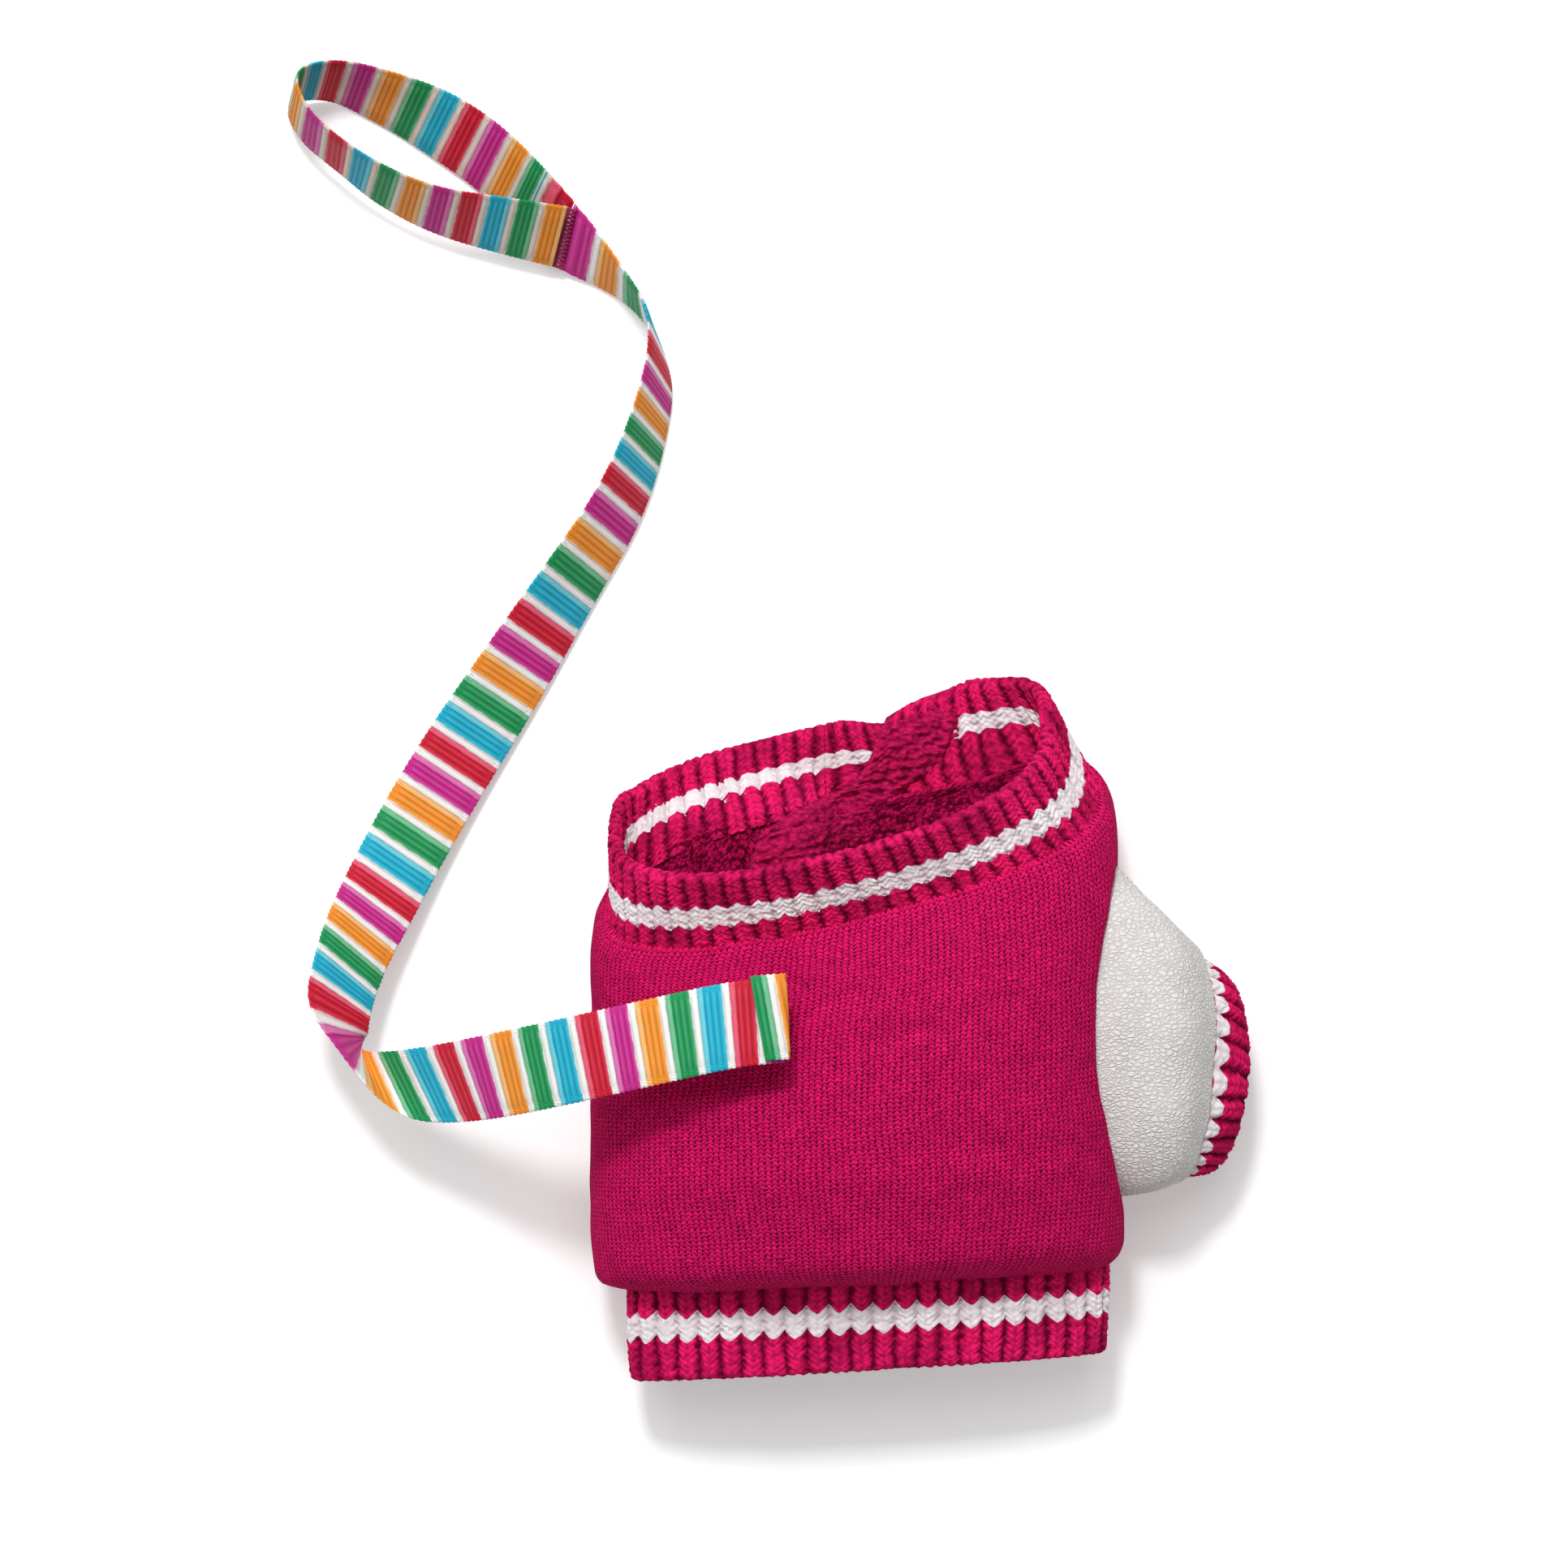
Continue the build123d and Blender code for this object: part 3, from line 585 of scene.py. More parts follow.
# -------- the tube's cross-sections
back_low, back_high = frame_box("back_panel")
body_width = back_high.x - back_low.x
body_middle_x = (back_high.x + back_low.x) / 2
body_height = back_high.z
widest_height = 12.0  # where the sides stand out furthest
waist_rim_y = -39.6
waist_band = 9.2  # height of the waist band
fleece_length = 48.4  # waist seam to neck seam
neck_band = 9.6  # height of the neck band
fleece = 1.3  # thicknesses
rib = 1.5
leather = 0.8
gap = 0.3  # between layers
right_seam = -10  # angles of the side seams round the tube, in degrees
left_seam = 190
flap_hinge_x = -8.0
flap_edge_x = 9.0
underlap_edge_x = -2.0  # where the bands end inside the closure
sleeve_pocket = 6.2  # room under the left side for the folded left sleeve
sleeve_pocket_edge_x = -14.0
POCKET_RAMP = 6.0
POCKET_END = 8.0
armhole_half = (19.2, 8.6)  # along Y and Z, as the next
armhole_middle = (0.4, 12.6)
PIVOT_X = -10.0  # the rings lean about this place
PIVOT_Z = 16.0
TOP_POWER = 2.3  # a plain ellipse has 2, a box a very large number
BOTTOM_POWER = 3.2
BACK_BOW = 0.24  # how much less the back's half of the neck leans than the sides
SINK = 0.8  # how far the round underside would sink, where the table flattens it
WAIST_RAISED = 1.2  # how far the worn waist band's rim has drawn in
SEAM_RAISED = 1.8  # and its seam
waist_seam_y = waist_rim_y + waist_band
neck_seam_y = waist_seam_y + fleece_length
neck_rim_y = neck_seam_y + neck_band
right_side_x = body_middle_x + body_width / 2

# y; how far the left side, the right side and the top stand inside the tube's whole size; the
# bottom's height; how much y grows with x, and with height, so that the ring leans
WAIST_RINGS = [
    (waist_rim_y + WAIST_RAISED, 4.6, 2.2, 13.8, 0.0, 0.06, 0.0),
    (waist_rim_y + waist_band / 2 + SEAM_RAISED, 4.3, 2.0, 12.8, 0.0, 0.055, 0.0),
    (waist_seam_y + SEAM_RAISED, 4.2, 2.0, 11.6, 0.0, 0.05, 0.0),
]
FLEECE_RINGS = [
    (waist_seam_y + SEAM_RAISED + gap, 3.2, 1.6, 9.8, 0.0, 0.05, 0.0),
    (waist_seam_y + SEAM_RAISED + 1.5, 1.0, 0.6, 5.9, 0.0, 0.055, 0.0),
    (waist_seam_y + 0.10 * fleece_length, 0.3, 0.1, 3.8, 0.0, 0.06, 0.0),
    (waist_seam_y + 0.18 * fleece_length, 0.1, 0.0, 2.4, 0.0, 0.07, 0.0),
    (waist_seam_y + 0.34 * fleece_length, 0.0, 0.3, 0.4, 0.0, 0.08, 0.0),
    (waist_seam_y + 0.50 * fleece_length, 0.0, 0.9, 0.0, 0.0, 0.10, -0.05),
    (waist_seam_y + 0.66 * fleece_length, 0.0, 0.9, 0.3, 0.0, 0.13, -0.14),
    (waist_seam_y + 0.82 * fleece_length, 0.0, 0.4, 2.0, 0.0, 0.17, -0.32),
    (waist_seam_y + 0.95 * fleece_length, 0.2, 1.1, 4.0, 0.2, 0.22, -0.55),
    (neck_seam_y - gap, 1.4, 2.3, 5.2, 0.2, 0.24, -0.62),
]
NECK_RINGS = [
    (neck_seam_y, 2.2, 3.4, 5.5, 0.3, 0.24, -0.62),
    (neck_seam_y + neck_band / 2, 2.2, 6.2, 3.2, 0.6, 0.24, -0.62),
    (neck_rim_y, 2.0, 8.5, 0.6, 0.9, 0.24, -0.62),
]


def pocket_height(x, y):
    """How far the underside stands off the table over the folded left sleeve."""
    across = smooth((sleeve_pocket_edge_x + POCKET_RAMP - x) / POCKET_RAMP)
    along = smooth((armhole_half[0] + POCKET_END / 2 - np.abs(y)) / POCKET_END)
    return sleeve_pocket * across * along


class Tube:
    """A stretch of the jacket's tube, with smooth sections between its rings."""

    def __init__(self, rings):
        rows = np.array(rings)
        self.knots = rows[:, 0]
        y, left, right, top, bottom, slant, tilt = rows.T
        half = (body_width - left - right) / 2
        middle = body_middle_x + (left - right) / 2
        self.values = np.stack([y, half, middle, body_height - top, bottom, slant, tilt], axis=1)
        self.slopes = gentle_slopes(self.values, self.knots)

    def section(self, y):
        """The seven values of the section at each y, past the ends in a straight line."""
        near = np.clip(y, self.knots[0], self.knots[-1])
        past = (y - near)[..., None]
        curve = hermite(self.knots, self.values, self.slopes, near)
        return np.moveaxis(curve + past * np.where(past > 0, self.slopes[-1], self.slopes[0]), -1, 0)

    def point(self, y, angle, inset=0.0):
        """Points inset millimetres inside the outer face; y, angle and inset have one shape."""
        y, angle, inset = np.broadcast_arrays(np.asarray(y, float), angle, inset)
        own_y, half, middle, top, bottom, slant, tilt = self.section(y)
        cosine = np.cos(np.radians(angle))
        sine = np.sin(np.radians(angle))
        up = sine >= 0
        power = np.where(up, TOP_POWER, BOTTOM_POWER)
        reach = np.where(up, top - widest_height, widest_height - bottom + SINK) - inset
        across = np.sign(cosine) * np.abs(cosine) ** (2 / power)
        x = middle + (half - inset) * across
        z = widest_height + np.sign(sine) * reach * np.abs(sine) ** (2 / power)
        out_y = own_y + slant * (x - PIVOT_X)
        unlifted = np.where(up, z, np.maximum(z, bottom))
        lowest = np.maximum(bottom, pocket_height(middle + half * across, out_y)) + inset
        z = np.where(up, z, np.maximum(z, lowest))
        above = np.maximum(unlifted - PIVOT_Z, 0)
        out_y = out_y + tilt * (unlifted - PIVOT_Z - BACK_BOW * above)
        return np.stack([x, out_y, z], axis=-1)

    def angle_at(self, y, x):
        """The angle at which the underside passes the line x."""
        y, x = np.broadcast_arrays(np.asarray(y, float), x)
        _, half, middle, *_ = self.section(y)
        share = (x - middle) / half
        cosine = np.sign(share) * np.abs(share) ** (BOTTOM_POWER / 2)
        return 360 - np.degrees(np.arccos(cosine))

    def even_angles(self, ys, firsts, lasts, columns):
        """For each y, angles from its first to its last that stand evenly along the cloth."""
        rows = []
        for y, first, last in zip(ys, firsts, lasts):
            dense = np.linspace(first, last, 721)
            length = line_lengths(self.point(y, dense))
            rows.append(np.interp(np.linspace(0, length[-1], columns), length, dense))
        return np.array(rows)


waist_tube = Tube(WAIST_RINGS)
fleece_tube = Tube(FLEECE_RINGS)
neck_tube = Tube(NECK_RINGS)


# -------- the ribbon lead
# x, y and z of the control points of the ribbon's middle line, and the heading and the rise, in
# degrees, of the direction across the ribbon there
LEAD_ROUTE = [
    (-15.8, 2.6, 35.6, 93, 0),
    (-20.0, 2.4, 36.2, 94, 0),
    (-27.5, 0.8, 36.0, 98, 0),
    (-38.0, -1.7, 33.0, 101, 0),
    (-47.0, -3.9, 26.0, 104, -2),
    (-54.0, -5.5, 17.8, 114, -8),
    (-60.0, -6.2, 11.4, 118, -26),
    (-63.6, -5.0, 9.4, 116, -50),
    (-65.6, -1.4, 9.0, 15, -76),
    (-67.4, 1.6, 9.2, -30, -40),
    (-66.6, 6.0, 8.6, -41, -26),
    (-65.2, 10.4, 7.0, -41, -20),
    (-62.4, 16.2, 4.8, -36, -14),
    (-58.8, 23.2, 3.4, -34, -12),
    (-53.6, 32.0, 2.8, -34, -16),
    (-47.4, 41.4, 3.2, -34, -28),
    (-40.6, 52.0, 4.0, -38, -43),
    (-34.6, 61.2, 4.4, -40, -51),
    (-31.2, 70.4, 4.6, -46, -58),
    (-29.6, 78.8, 4.8, -61, -61),
    (-33.0, 86.2, 4.9, -92, -74),
    (-41.0, 92.4, 4.2, -107, -41),
]
LOOP_ROUTE = [
    (-41.6, 92.9, 4.2, 63, 42),
    (-48.0, 100.2, 3.6, 59, 41),
    (-55.6, 105.6, 3.6, 58, 42),
    (-62.0, 108.6, 4.1, 58, 53),
    (-68.4, 110.8, 4.8, 59, 64),
    (-73.2, 109.6, 6.0, 60, 68),
    (-71.6, 105.2, 7.2, 62, 71),
    (-67.4, 101.6, 7.4, 64, 72),
    (-62.4, 98.0, 7.0, 58, 67),
    (-56.4, 95.2, 6.6, 66, 61),
    (-49.6, 93.7, 6.2, 70, 53),
    (-41.7, 92.2, 5.6, 72, 46),
]
RIBBON_THICKNESS = 0.5
CROSS_RIB_RISE = 0.11  # how far the cross-ribs stand out
SELVAGE_RISE = 0.045  # and the selvages' loops
STATIONS_PER_RIB = 7


def route_line(name, route):
    """Points along the smooth line that has the route's points as its control points."""
    curve = bpy.data.curves.new(name, "CURVE")
    curve.dimensions = "3D"
    spline = curve.splines.new("NURBS")
    spline.points.add(len(route) - 1)
    for point, stop in zip(spline.points, route):
        point.co = (*metres(*stop[:3]), 1.0)
    spline.order_u = 3
    spline.use_endpoint_u = True
    spline.resolution_u = 24
    holder = bpy.data.objects.new(name, curve)
    bpy.context.scene.collection.objects.link(holder)
    bpy.context.view_layer.update()
    mesh = bpy.data.meshes.new_from_object(holder)
    line = np.array([vertex.co for vertex in mesh.vertices]) / MM
    bpy.data.objects.remove(holder)
    bpy.data.curves.remove(curve)
    bpy.data.meshes.remove(mesh)
    return line


def across_directions(route, shares):
    """The direction from one selvage to the other, at shares of the route's length."""
    points, turns = np.hsplit(np.array(route), [3])
    heading, rise = np.radians(turns).T
    level = np.cos(rise)
    edges = np.stack([level * np.cos(heading), level * np.sin(heading), np.sin(rise)], axis=1)
    knots = line_lengths(points)
    return hermite(knots, edges, np.gradient(edges, knots, axis=0), shares * knots[-1])


def ribbon_stations(route, line):
    """Evenly spaced distances along, and the middles, directions across and normals there."""
    lengths = line_lengths(line)
    count = int(lengths[-1] / CROSS_RIB * STATIONS_PER_RIB) + 1
    along = np.linspace(0, lengths[-1], count)
    middle = at_lengths(lengths, along, line)
    tangent = np.gradient(middle, along, axis=0)
    kernel = np.hanning(2 * STATIONS_PER_RIB + 3)[1:-1]
    padded = np.pad(tangent, ((STATIONS_PER_RIB, STATIONS_PER_RIB), (0, 0)), mode="edge")
    tangent = unit(np.stack([np.convolve(padded[:, k], kernel, "valid") for k in range(3)], axis=1))
    edge = unit(across_directions(route, along / lengths[-1]))
    return along, middle, edge, np.cross(tangent, edge)


def yarn_round(count):
    """The height, from 0 to 1, of round yarns that lie side by side, one for each whole count."""
    return np.sqrt(np.clip(1 - (2 * np.mod(count, 1) - 1) ** 2, 0, 1))


def ribbon_piece(name, stations, material, count_at, reach_of=None):
    """A grosgrain strip: raised cross-ribs between two flat selvages, alike on both faces.
    count_at gives the count of colours at a distance along; reach_of, the length at a place across."""
    along = stations[0]
    half = RIBBON_WIDTH / 2
    inside = half - SELVAGE
    selvage = np.array([inside + 0.08, half - 0.45, half - 0.12, half])
    across = np.concatenate([-selvage[::-1], np.linspace(-inside + 0.12, inside - 0.12, 7), selvage])
    reach = along[:, None].repeat(len(across), axis=1)
    if reach_of is not None:
        reach = reach / along[-1] * reach_of(across)
    middle, edge, normal = (at_lengths(along, reach, part) for part in stations[1:])
    count = count_at(reach, across)
    ribbed = smooth((inside + 0.05 - np.abs(across)) / 0.2)
    phase = count * RIBS_PER_COLOUR
    rise = CROSS_RIB_RISE * ribbed * yarn_round(phase) + 0.02 * ripple(reach, across, 6.0, 3)
    rise += SELVAGE_RISE * (1 - ribbed) * np.sin(4 * math.pi * phase)
    wobble = 0.05 * np.sin(2 * math.pi * phase) * np.sign(across) * (np.abs(across) > half - 0.2)
    rounding = np.where(np.abs(across) > half - 0.05, 0.35, 1.0)
    lift = normal * ((RIBBON_THICKNESS / 2 - 0.1 + rise) * rounding)[..., None]
    spread = middle + edge * (across + wobble)[..., None]
    return layer_piece(name, spread + lift, spread - lift, pair_grid(count, across), material)


# (distance along, which colour has its middle there): the cloth is a little stretched in places
LEAD_COLOURS = ((4.2, 0), (21.6, 5), (33.6, 8), (43, 10), (57.6, 13), (67, 15), (81.6, 20), (99.6, 25),
                (117.6, 30), (136.6, 35), (151.6, 40), (168.6, 44), (171.5, 44.36))
LOOP_COLOURS = ((0, 45), (4.6, 45.5), (5.0, 46.6), (9, 48), (16, 50), (32.7, 55), (39.4, 58), (46.8, 60),
                (63.7, 65), (73.5, 68))
COLOUR_MIDDLE = 0.38  # of a count
PAST_ENDS = 40.0  # how far past the pairs the counting goes on


def counting(pairs):
    """The count of colours at a distance along, from pairs, past the last ones at their own rate."""
    at, count = np.array(pairs, float).T
    rate = np.diff(count) / np.diff(at)
    at = np.concatenate([[at[0] - PAST_ENDS], at, [at[-1] + PAST_ENDS]])
    count = np.concatenate([[count[0] - rate[0] * PAST_ENDS], count, [count[-1] + rate[-1] * PAST_ENDS]])
    return lambda reach, across: np.interp(reach, at, count + COLOUR_MIDDLE)


lead_line = route_line("lead_line", LEAD_ROUTE)
loop_line = route_line("loop_line", LOOP_ROUTE)
lead_stations = ribbon_stations(LEAD_ROUTE, lead_line)
loop_stations = ribbon_stations(LOOP_ROUTE, loop_line)
RIBBON_CLOTH = ribbon_material("striped_ribbon")
lead_ribbon = ribbon_piece("lead_ribbon", lead_stations, RIBBON_CLOTH, counting(LEAD_COLOURS))
LOOP_CLOTH = ribbon_material("striped_ribbon_loop", "#ecdccf", 0.9)  # seen from its back, with painted shade: its colours darkened and its pale gaps tinted beige
hand_loop = ribbon_piece("lead_hand_loop", loop_stations, LOOP_CLOTH, counting(LOOP_COLOURS))

HEM_LONG = 4.05  # the cut end is turned over askew: its length at each selvage
HEM_SHORT = 2.95
HEM_ASIDE = 0.4  # and it lies a little aside
HEM_FOLD_COUNT = -1.47  # the count of colours at its fold


def make_hem():
    """The turned-over end, with its round fold, lying on the ribbon."""
    along, middle, edge, normal = lead_stations
    flat = along < HEM_LONG + 1.0
    thick = RIBBON_THICKNESS + gap
    turn = np.linspace(math.pi / 2, -math.pi / 2, 12)[:-1, None]
    tangent = unit(np.cross(edge[0], normal[0]))
    middle = middle + edge * HEM_ASIDE
    arc = tangent * np.cos(turn) * 0.9 + normal[0] * (1 - np.sin(turn))
    points = np.concatenate([middle[0] - arc * thick / 2, middle[flat] - normal[flat] * thick])
    edges = np.concatenate([np.repeat(edge[:1], len(arc), axis=0), edge[flat]])
    steps = line_lengths(points)
    fold = thick * 0.75  # of the strip that goes round the fold
    length = HEM_LONG + fold
    even = np.linspace(0, length, int(length / CROSS_RIB * STATIONS_PER_RIB))
    points = at_lengths(steps, even, points)
    edges = at_lengths(steps, even, edges)
    tangents = unit(np.gradient(points, even, axis=0))
    lean = (HEM_LONG - HEM_SHORT) / RIBBON_WIDTH

    def reach_of(across):
        return fold + (HEM_LONG + HEM_SHORT) / 2 + lean * across

    def count_at(reach, across):
        from_fold = reach - fold / 2 - lean * (across - RIBBON_WIDTH / 2)
        return HEM_FOLD_COUNT - from_fold / COLOUR_LENGTH

    stations = (even, points, edges, np.cross(tangents, edges))
    return ribbon_piece("lead_end_hem", stations, RIBBON_CLOTH, count_at, reach_of)


hem = make_hem()


# -------- threads
THREAD_SIDES = 6


def thread_tube(points, radius):
    """Points and faces of a round thread that follows points, closed at both ends."""
    points = np.array(points)
    tangent = unit(np.gradient(points, axis=0))
    helper = np.where(np.abs(tangent[:, 2:]) < 0.9, [[0.0, 0.0, 1.0]], [[1.0, 0.0, 0.0]])
    side = unit(np.cross(tangent, helper))[:, None]
    up = np.cross(tangent[:, None], side)
    turn = np.linspace(0, 2 * math.pi, THREAD_SIDES, endpoint=False)[:, None]
    reach = np.full((len(points), 1, 1), radius)
    reach[[0, -1]] *= 0.35
    verts = points[:, None] + (side * np.cos(turn) + up * np.sin(turn)) * reach
    index = np.arange(len(points) * THREAD_SIDES).reshape(len(points), THREAD_SIDES)
    after = np.roll(index, -1, axis=1)
    quads = np.stack([index[:-1], after[:-1], after[1:], index[1:]], axis=-1).reshape(-1, 4)
    ends = (index[0], index[-1][::-1])
    caps = [end[[0, k, k + 1, k + 2]] for end in ends for k in range(1, THREAD_SIDES - 2, 2)]
    return verts.reshape(-1, 3), np.concatenate([quads, caps])


def threads_piece(name, paths, radius, material):
    points, quads, count = [], [], 0
    for path in paths:
        verts, faces = thread_tube(path, radius)
        points.append(verts)
        quads.append(faces + count)
        count += len(verts)
    points = np.concatenate(points)
    return make_mesh(name, points, np.concatenate(quads), points[:, :2], material)


BAR_STITCHES = 30
BAR_HALF = 1.15  # half of each stitch's length, along the ribbon
BAR_RISE = 0.36
BAR_LEAN = 0.16  # every second stitch leans the other way
BAR_RADIUS = 0.15
TACK_LOW = 28.6  # where the hand stitches start, under the fleece
TACK_RADIUS = 0.16


def bar_tack_paths():
    """Satin stitches across the ribbon, where the hand loop's two ends are sewn to the lead."""
    _, middle, edge, normal = lead_stations
    rng = np.random.default_rng(5)
    place = (middle[-1] + loop_stations[1][0]) / 2
    out, lift = edge[-1], normal[-1]
    forward = np.cross(out, lift)
    paths = []
    for index in range(BAR_STITCHES):
        across = (index / (BAR_STITCHES - 1) - 0.5) * (RIBBON_WIDTH - 0.9)
        lean = BAR_LEAN if index % 2 else -BAR_LEAN
        stitch = []
        for share in np.linspace(-1, 1, 9):
            rise = RIBBON_THICKNESS / 2 + 0.12 + BAR_RISE * (1 - share**2) ** 0.5
            spot = place + out * (across + lean * share + rng.normal(0, 0.015))
            stitch.append(spot + forward * share * BAR_HALF + lift * rise)
        paths.append(stitch)
    return paths


def tack_stitch_paths():
    """Three hand stitches that hold the lead's end to the back, under its upper selvage."""
    x, y, top = LEAD_ROUTE[0][:3]
    heights = np.linspace(TACK_LOW, top - 0.2, 8)
    sway = np.stack([0.12 * np.sin(heights), 0.1 * np.cos(1.3 * heights), heights], axis=1)
    return [sway + (x - (index + 0.5), y + RIBBON_WIDTH / 2 - 1.2, 0.0) for index in range(3)]


sewing_thread = thread_material("sewing_thread", "#a3225a")
bar_tack = threads_piece("lead_bar_tack", bar_tack_paths(), BAR_RADIUS, sewing_thread)
tack_thread = thread_material("tack_thread", "#8c0e44")
tack_stitches = threads_piece("lead_tack_stitches", tack_stitch_paths(), TACK_RADIUS, tack_thread)


# -------- fleece panels
HEM_ROUND = 1.6  # the fleece rolls in to the waist seam with this radius
NECK_ROUND = 1.1
ARMHOLE_ROUND = 1.1
CLOTH_SPACING = 0.36  # between the points of a panel
TABLE_GAP = 0.02  # the least height of a piece's outside
TACK_PLACE = (-15.8, 8.0)  # where the lead's stitches pull a dimple in the back
LEFT_HOLE_MIDDLE = (-29.6, 0.0)  # the left armhole, along X and Y in the underside
LEFT_HOLE_HALF = (5.8, 13.8)
FLEECE_LOW = waist_seam_y + SEAM_RAISED + gap
FLEECE_HIGH = neck_seam_y - gap
FLEECE_YS = np.linspace(FLEECE_LOW, FLEECE_HIGH, int((FLEECE_HIGH - FLEECE_LOW) / CLOTH_SPACING) + 1)
FLEECE = fleece_material()


def rolled(distance, radius):
    """How far a surface drops within radius of an edge that it rolls in to."""
    share = np.clip(1 - distance / radius, 0, 1)
    return radius * (1 - np.sqrt(np.clip(1 - share**2, 0, 1)))


def wrinkles(spot):
    """How far the fleece stands in or out, from where it is: soft folds and the lead's dimple."""
    x, y, z = np.moveaxis(spot, -1, 0)
    from_x, from_y = x - TACK_PLACE[0], y - TACK_PLACE[1]
    away = np.hypot(from_x / 1.25, from_y)
    dimple = -0.7 * bell(away, 1.8) - 0.45 * bell(away, 5.5)
    rays = 0.34 * bell(away - 4.5, 4.0) * np.cos(5 * np.arctan2(from_y, from_x) + 0.8)
    fold = -0.45 * bell(y - 1.0 - 0.28 * (x + 2.0), 1.3) * smooth((x + 13) / 6) * smooth((14 - x) / 10)
    fold -= 0.35 * bell(y + 11.0 + 0.10 * x, 1.8) * smooth((x + 2) / 8) * smooth((24 - x) / 8)
    fold -= 0.30 * bell(y + 8.5 + 0.42 * (x + 30), 2.0) * smooth((-14 - x) / 8)
    under_lead = bell(y + 3.2 - 0.16 * (x + 15.8), 1.9) * smooth((-14.6 - x) / 3) * smooth((x + 33) / 10)
    soft = 0.32 * ripple(x, y, 13.0, 11) + 0.12 * ripple(x, y, 5.0, 12)
    back = smooth((z - 15.0) / 8.0)
    return back * (dimple + rays + fold - 1.7 * under_lead) + soft * smooth((z - 2.0) / 4.0)


def in_oval(first, second, middle, half):
    """Below 1 inside an oval."""
    return ((first - middle[0]) / half[0]) ** 2 + ((second - middle[1]) / half[1]) ** 2


def in_armhole(spot):
    """Below 1 inside the right armhole's outline."""
    x, y, z = np.moveaxis(spot, -1, 0)
    return np.where(x > body_middle_x, in_oval(y, z, armhole_middle, armhole_half), 9.0)


def armhole_distance(spot):
    return (np.sqrt(in_armhole(spot)) - 1) * armhole_half[1]


def snap_to_armhole(y, angle):
    """Moves the grid's points nearest the armhole's outline on to it."""
    spot = fleece_tube.point(y, angle)
    step_y, step_a = 0.02, 0.05
    near = np.abs(armhole_distance(spot)) < CLOTH_SPACING * 0.62
    near &= spot[..., 0] > body_middle_x
    near_y, near_a = y[near], angle[near]
    for _ in range(6):
        here = in_armhole(fleece_tube.point(near_y, near_a))
        slope_y = (in_armhole(fleece_tube.point(near_y + step_y, near_a)) - here) / step_y
        slope_a = (in_armhole(fleece_tube.point(near_y, near_a + step_a)) - here) / step_a
        size = slope_y**2 + slope_a**2 + 1e-12
        near_y += np.clip((1 - here) * slope_y / size, -0.5, 0.5)
        near_a += np.clip((1 - here) * slope_a / size, -1.5, 1.5)
    y[near], angle[near] = near_y, near_a


def whole_faces(outside):
    """Which faces of a grid have all four corners outside a hole."""
    return outside[:-1, :-1] & outside[:-1, 1:] & outside[1:, 1:] & outside[1:, :-1]


UNDERLAP_RAMP = 7.0  # length of the step up over the flap's edge
TAPE = 0.7  # thickness of the hook tape and of the loop tape
UNDERLAP_DEPTH = fleece + 2 * TAPE + gap
# (y, x) of the underlap's free edge, which is dragged aside inside the neck
UNDERLAP_LINE = ((-12, -4), (0, -7), (9, -17), (14, -22), (16.7, -21), (18.3, -16.6), (20.1, -11.4),
                 (23, -6.5), (27.6, -3))
underlap_edge = hand_line(UNDERLAP_LINE)


def step_up(x):
    """0 at the flap's edge and 1 where the layer inside has stepped up over it."""
    return smooth((flap_edge_x + gap + UNDERLAP_RAMP - x) / UNDERLAP_RAMP)


def fleece_panel(name, first, last, step=0.0, armhole=False, left_hole=False):
    """A panel of the fleece tube from one angle to another, which may be given for each y, rolled
    in at the band seams; and its width and length."""
    ys = FLEECE_YS
    firsts, lasts = np.broadcast_to(first, ys.shape), np.broadcast_to(last, ys.shape)
    middle = len(ys) // 2
    mid_angles = np.linspace(firsts[middle], lasts[middle], 400)
    width = line_lengths(fleece_tube.point(ys[middle], mid_angles))[-1]
    columns = int(width / CLOTH_SPACING) + 1
    angles = fleece_tube.even_angles(ys, firsts, lasts, columns)
    grid_y = np.repeat(ys[:, None], columns, axis=1)
    if armhole:
        snap_to_armhole(grid_y, angles)
    base = fleece_tube.point(grid_y, angles)
    x, _, z = np.moveaxis(base, -1, 0)
    sewn = rolled(grid_y - FLEECE_LOW, HEM_ROUND) * 0.75 + rolled(FLEECE_HIGH - grid_y, NECK_ROUND) * 0.8
    outside = np.ones(angles.shape, bool)
    if armhole:
        sewn += rolled(np.maximum(armhole_distance(base), 0), ARMHOLE_ROUND) * 0.7
        outside = in_armhole(base) >= 1 - 1e-3
    if left_hole:
        outside = in_oval(x, base[..., 1], LEFT_HOLE_MIDDLE, LEFT_HOLE_HALF) >= 1
        outside |= z >= widest_height
    depth = step * step_up(x)
    outer = fleece_tube.point(grid_y, angles, depth + sewn)
    inner = fleece_tube.point(grid_y, angles, depth + fleece + sewn * 0.4)
    out = normals_of(base)
    out = turned(out, out[middle, :, 2], np.where(z[middle] > widest_height, 1, -1))
    bend = wrinkles(base)[..., None]
    pile = 0.16 * ripple(grid_y, x, 1.5, 51) + 0.12 * ripple(grid_y, z + x, 0.9, 52)
    outer += out * bend
    inner += out * (bend + pile[..., None])
    outer[..., 2] = np.maximum(outer[..., 2], TABLE_GAP)
    inner[..., 2] = np.maximum(inner[..., 2], 0.3)
    lengths = path_lengths(base, 0).mean(axis=1)[:, None]
    uv = pair_grid(np.linspace(0, width, columns), lengths)
    return layer_piece(name, outer, inner, uv, FLEECE, whole_faces(outside)), (width, lengths[-1, 0])


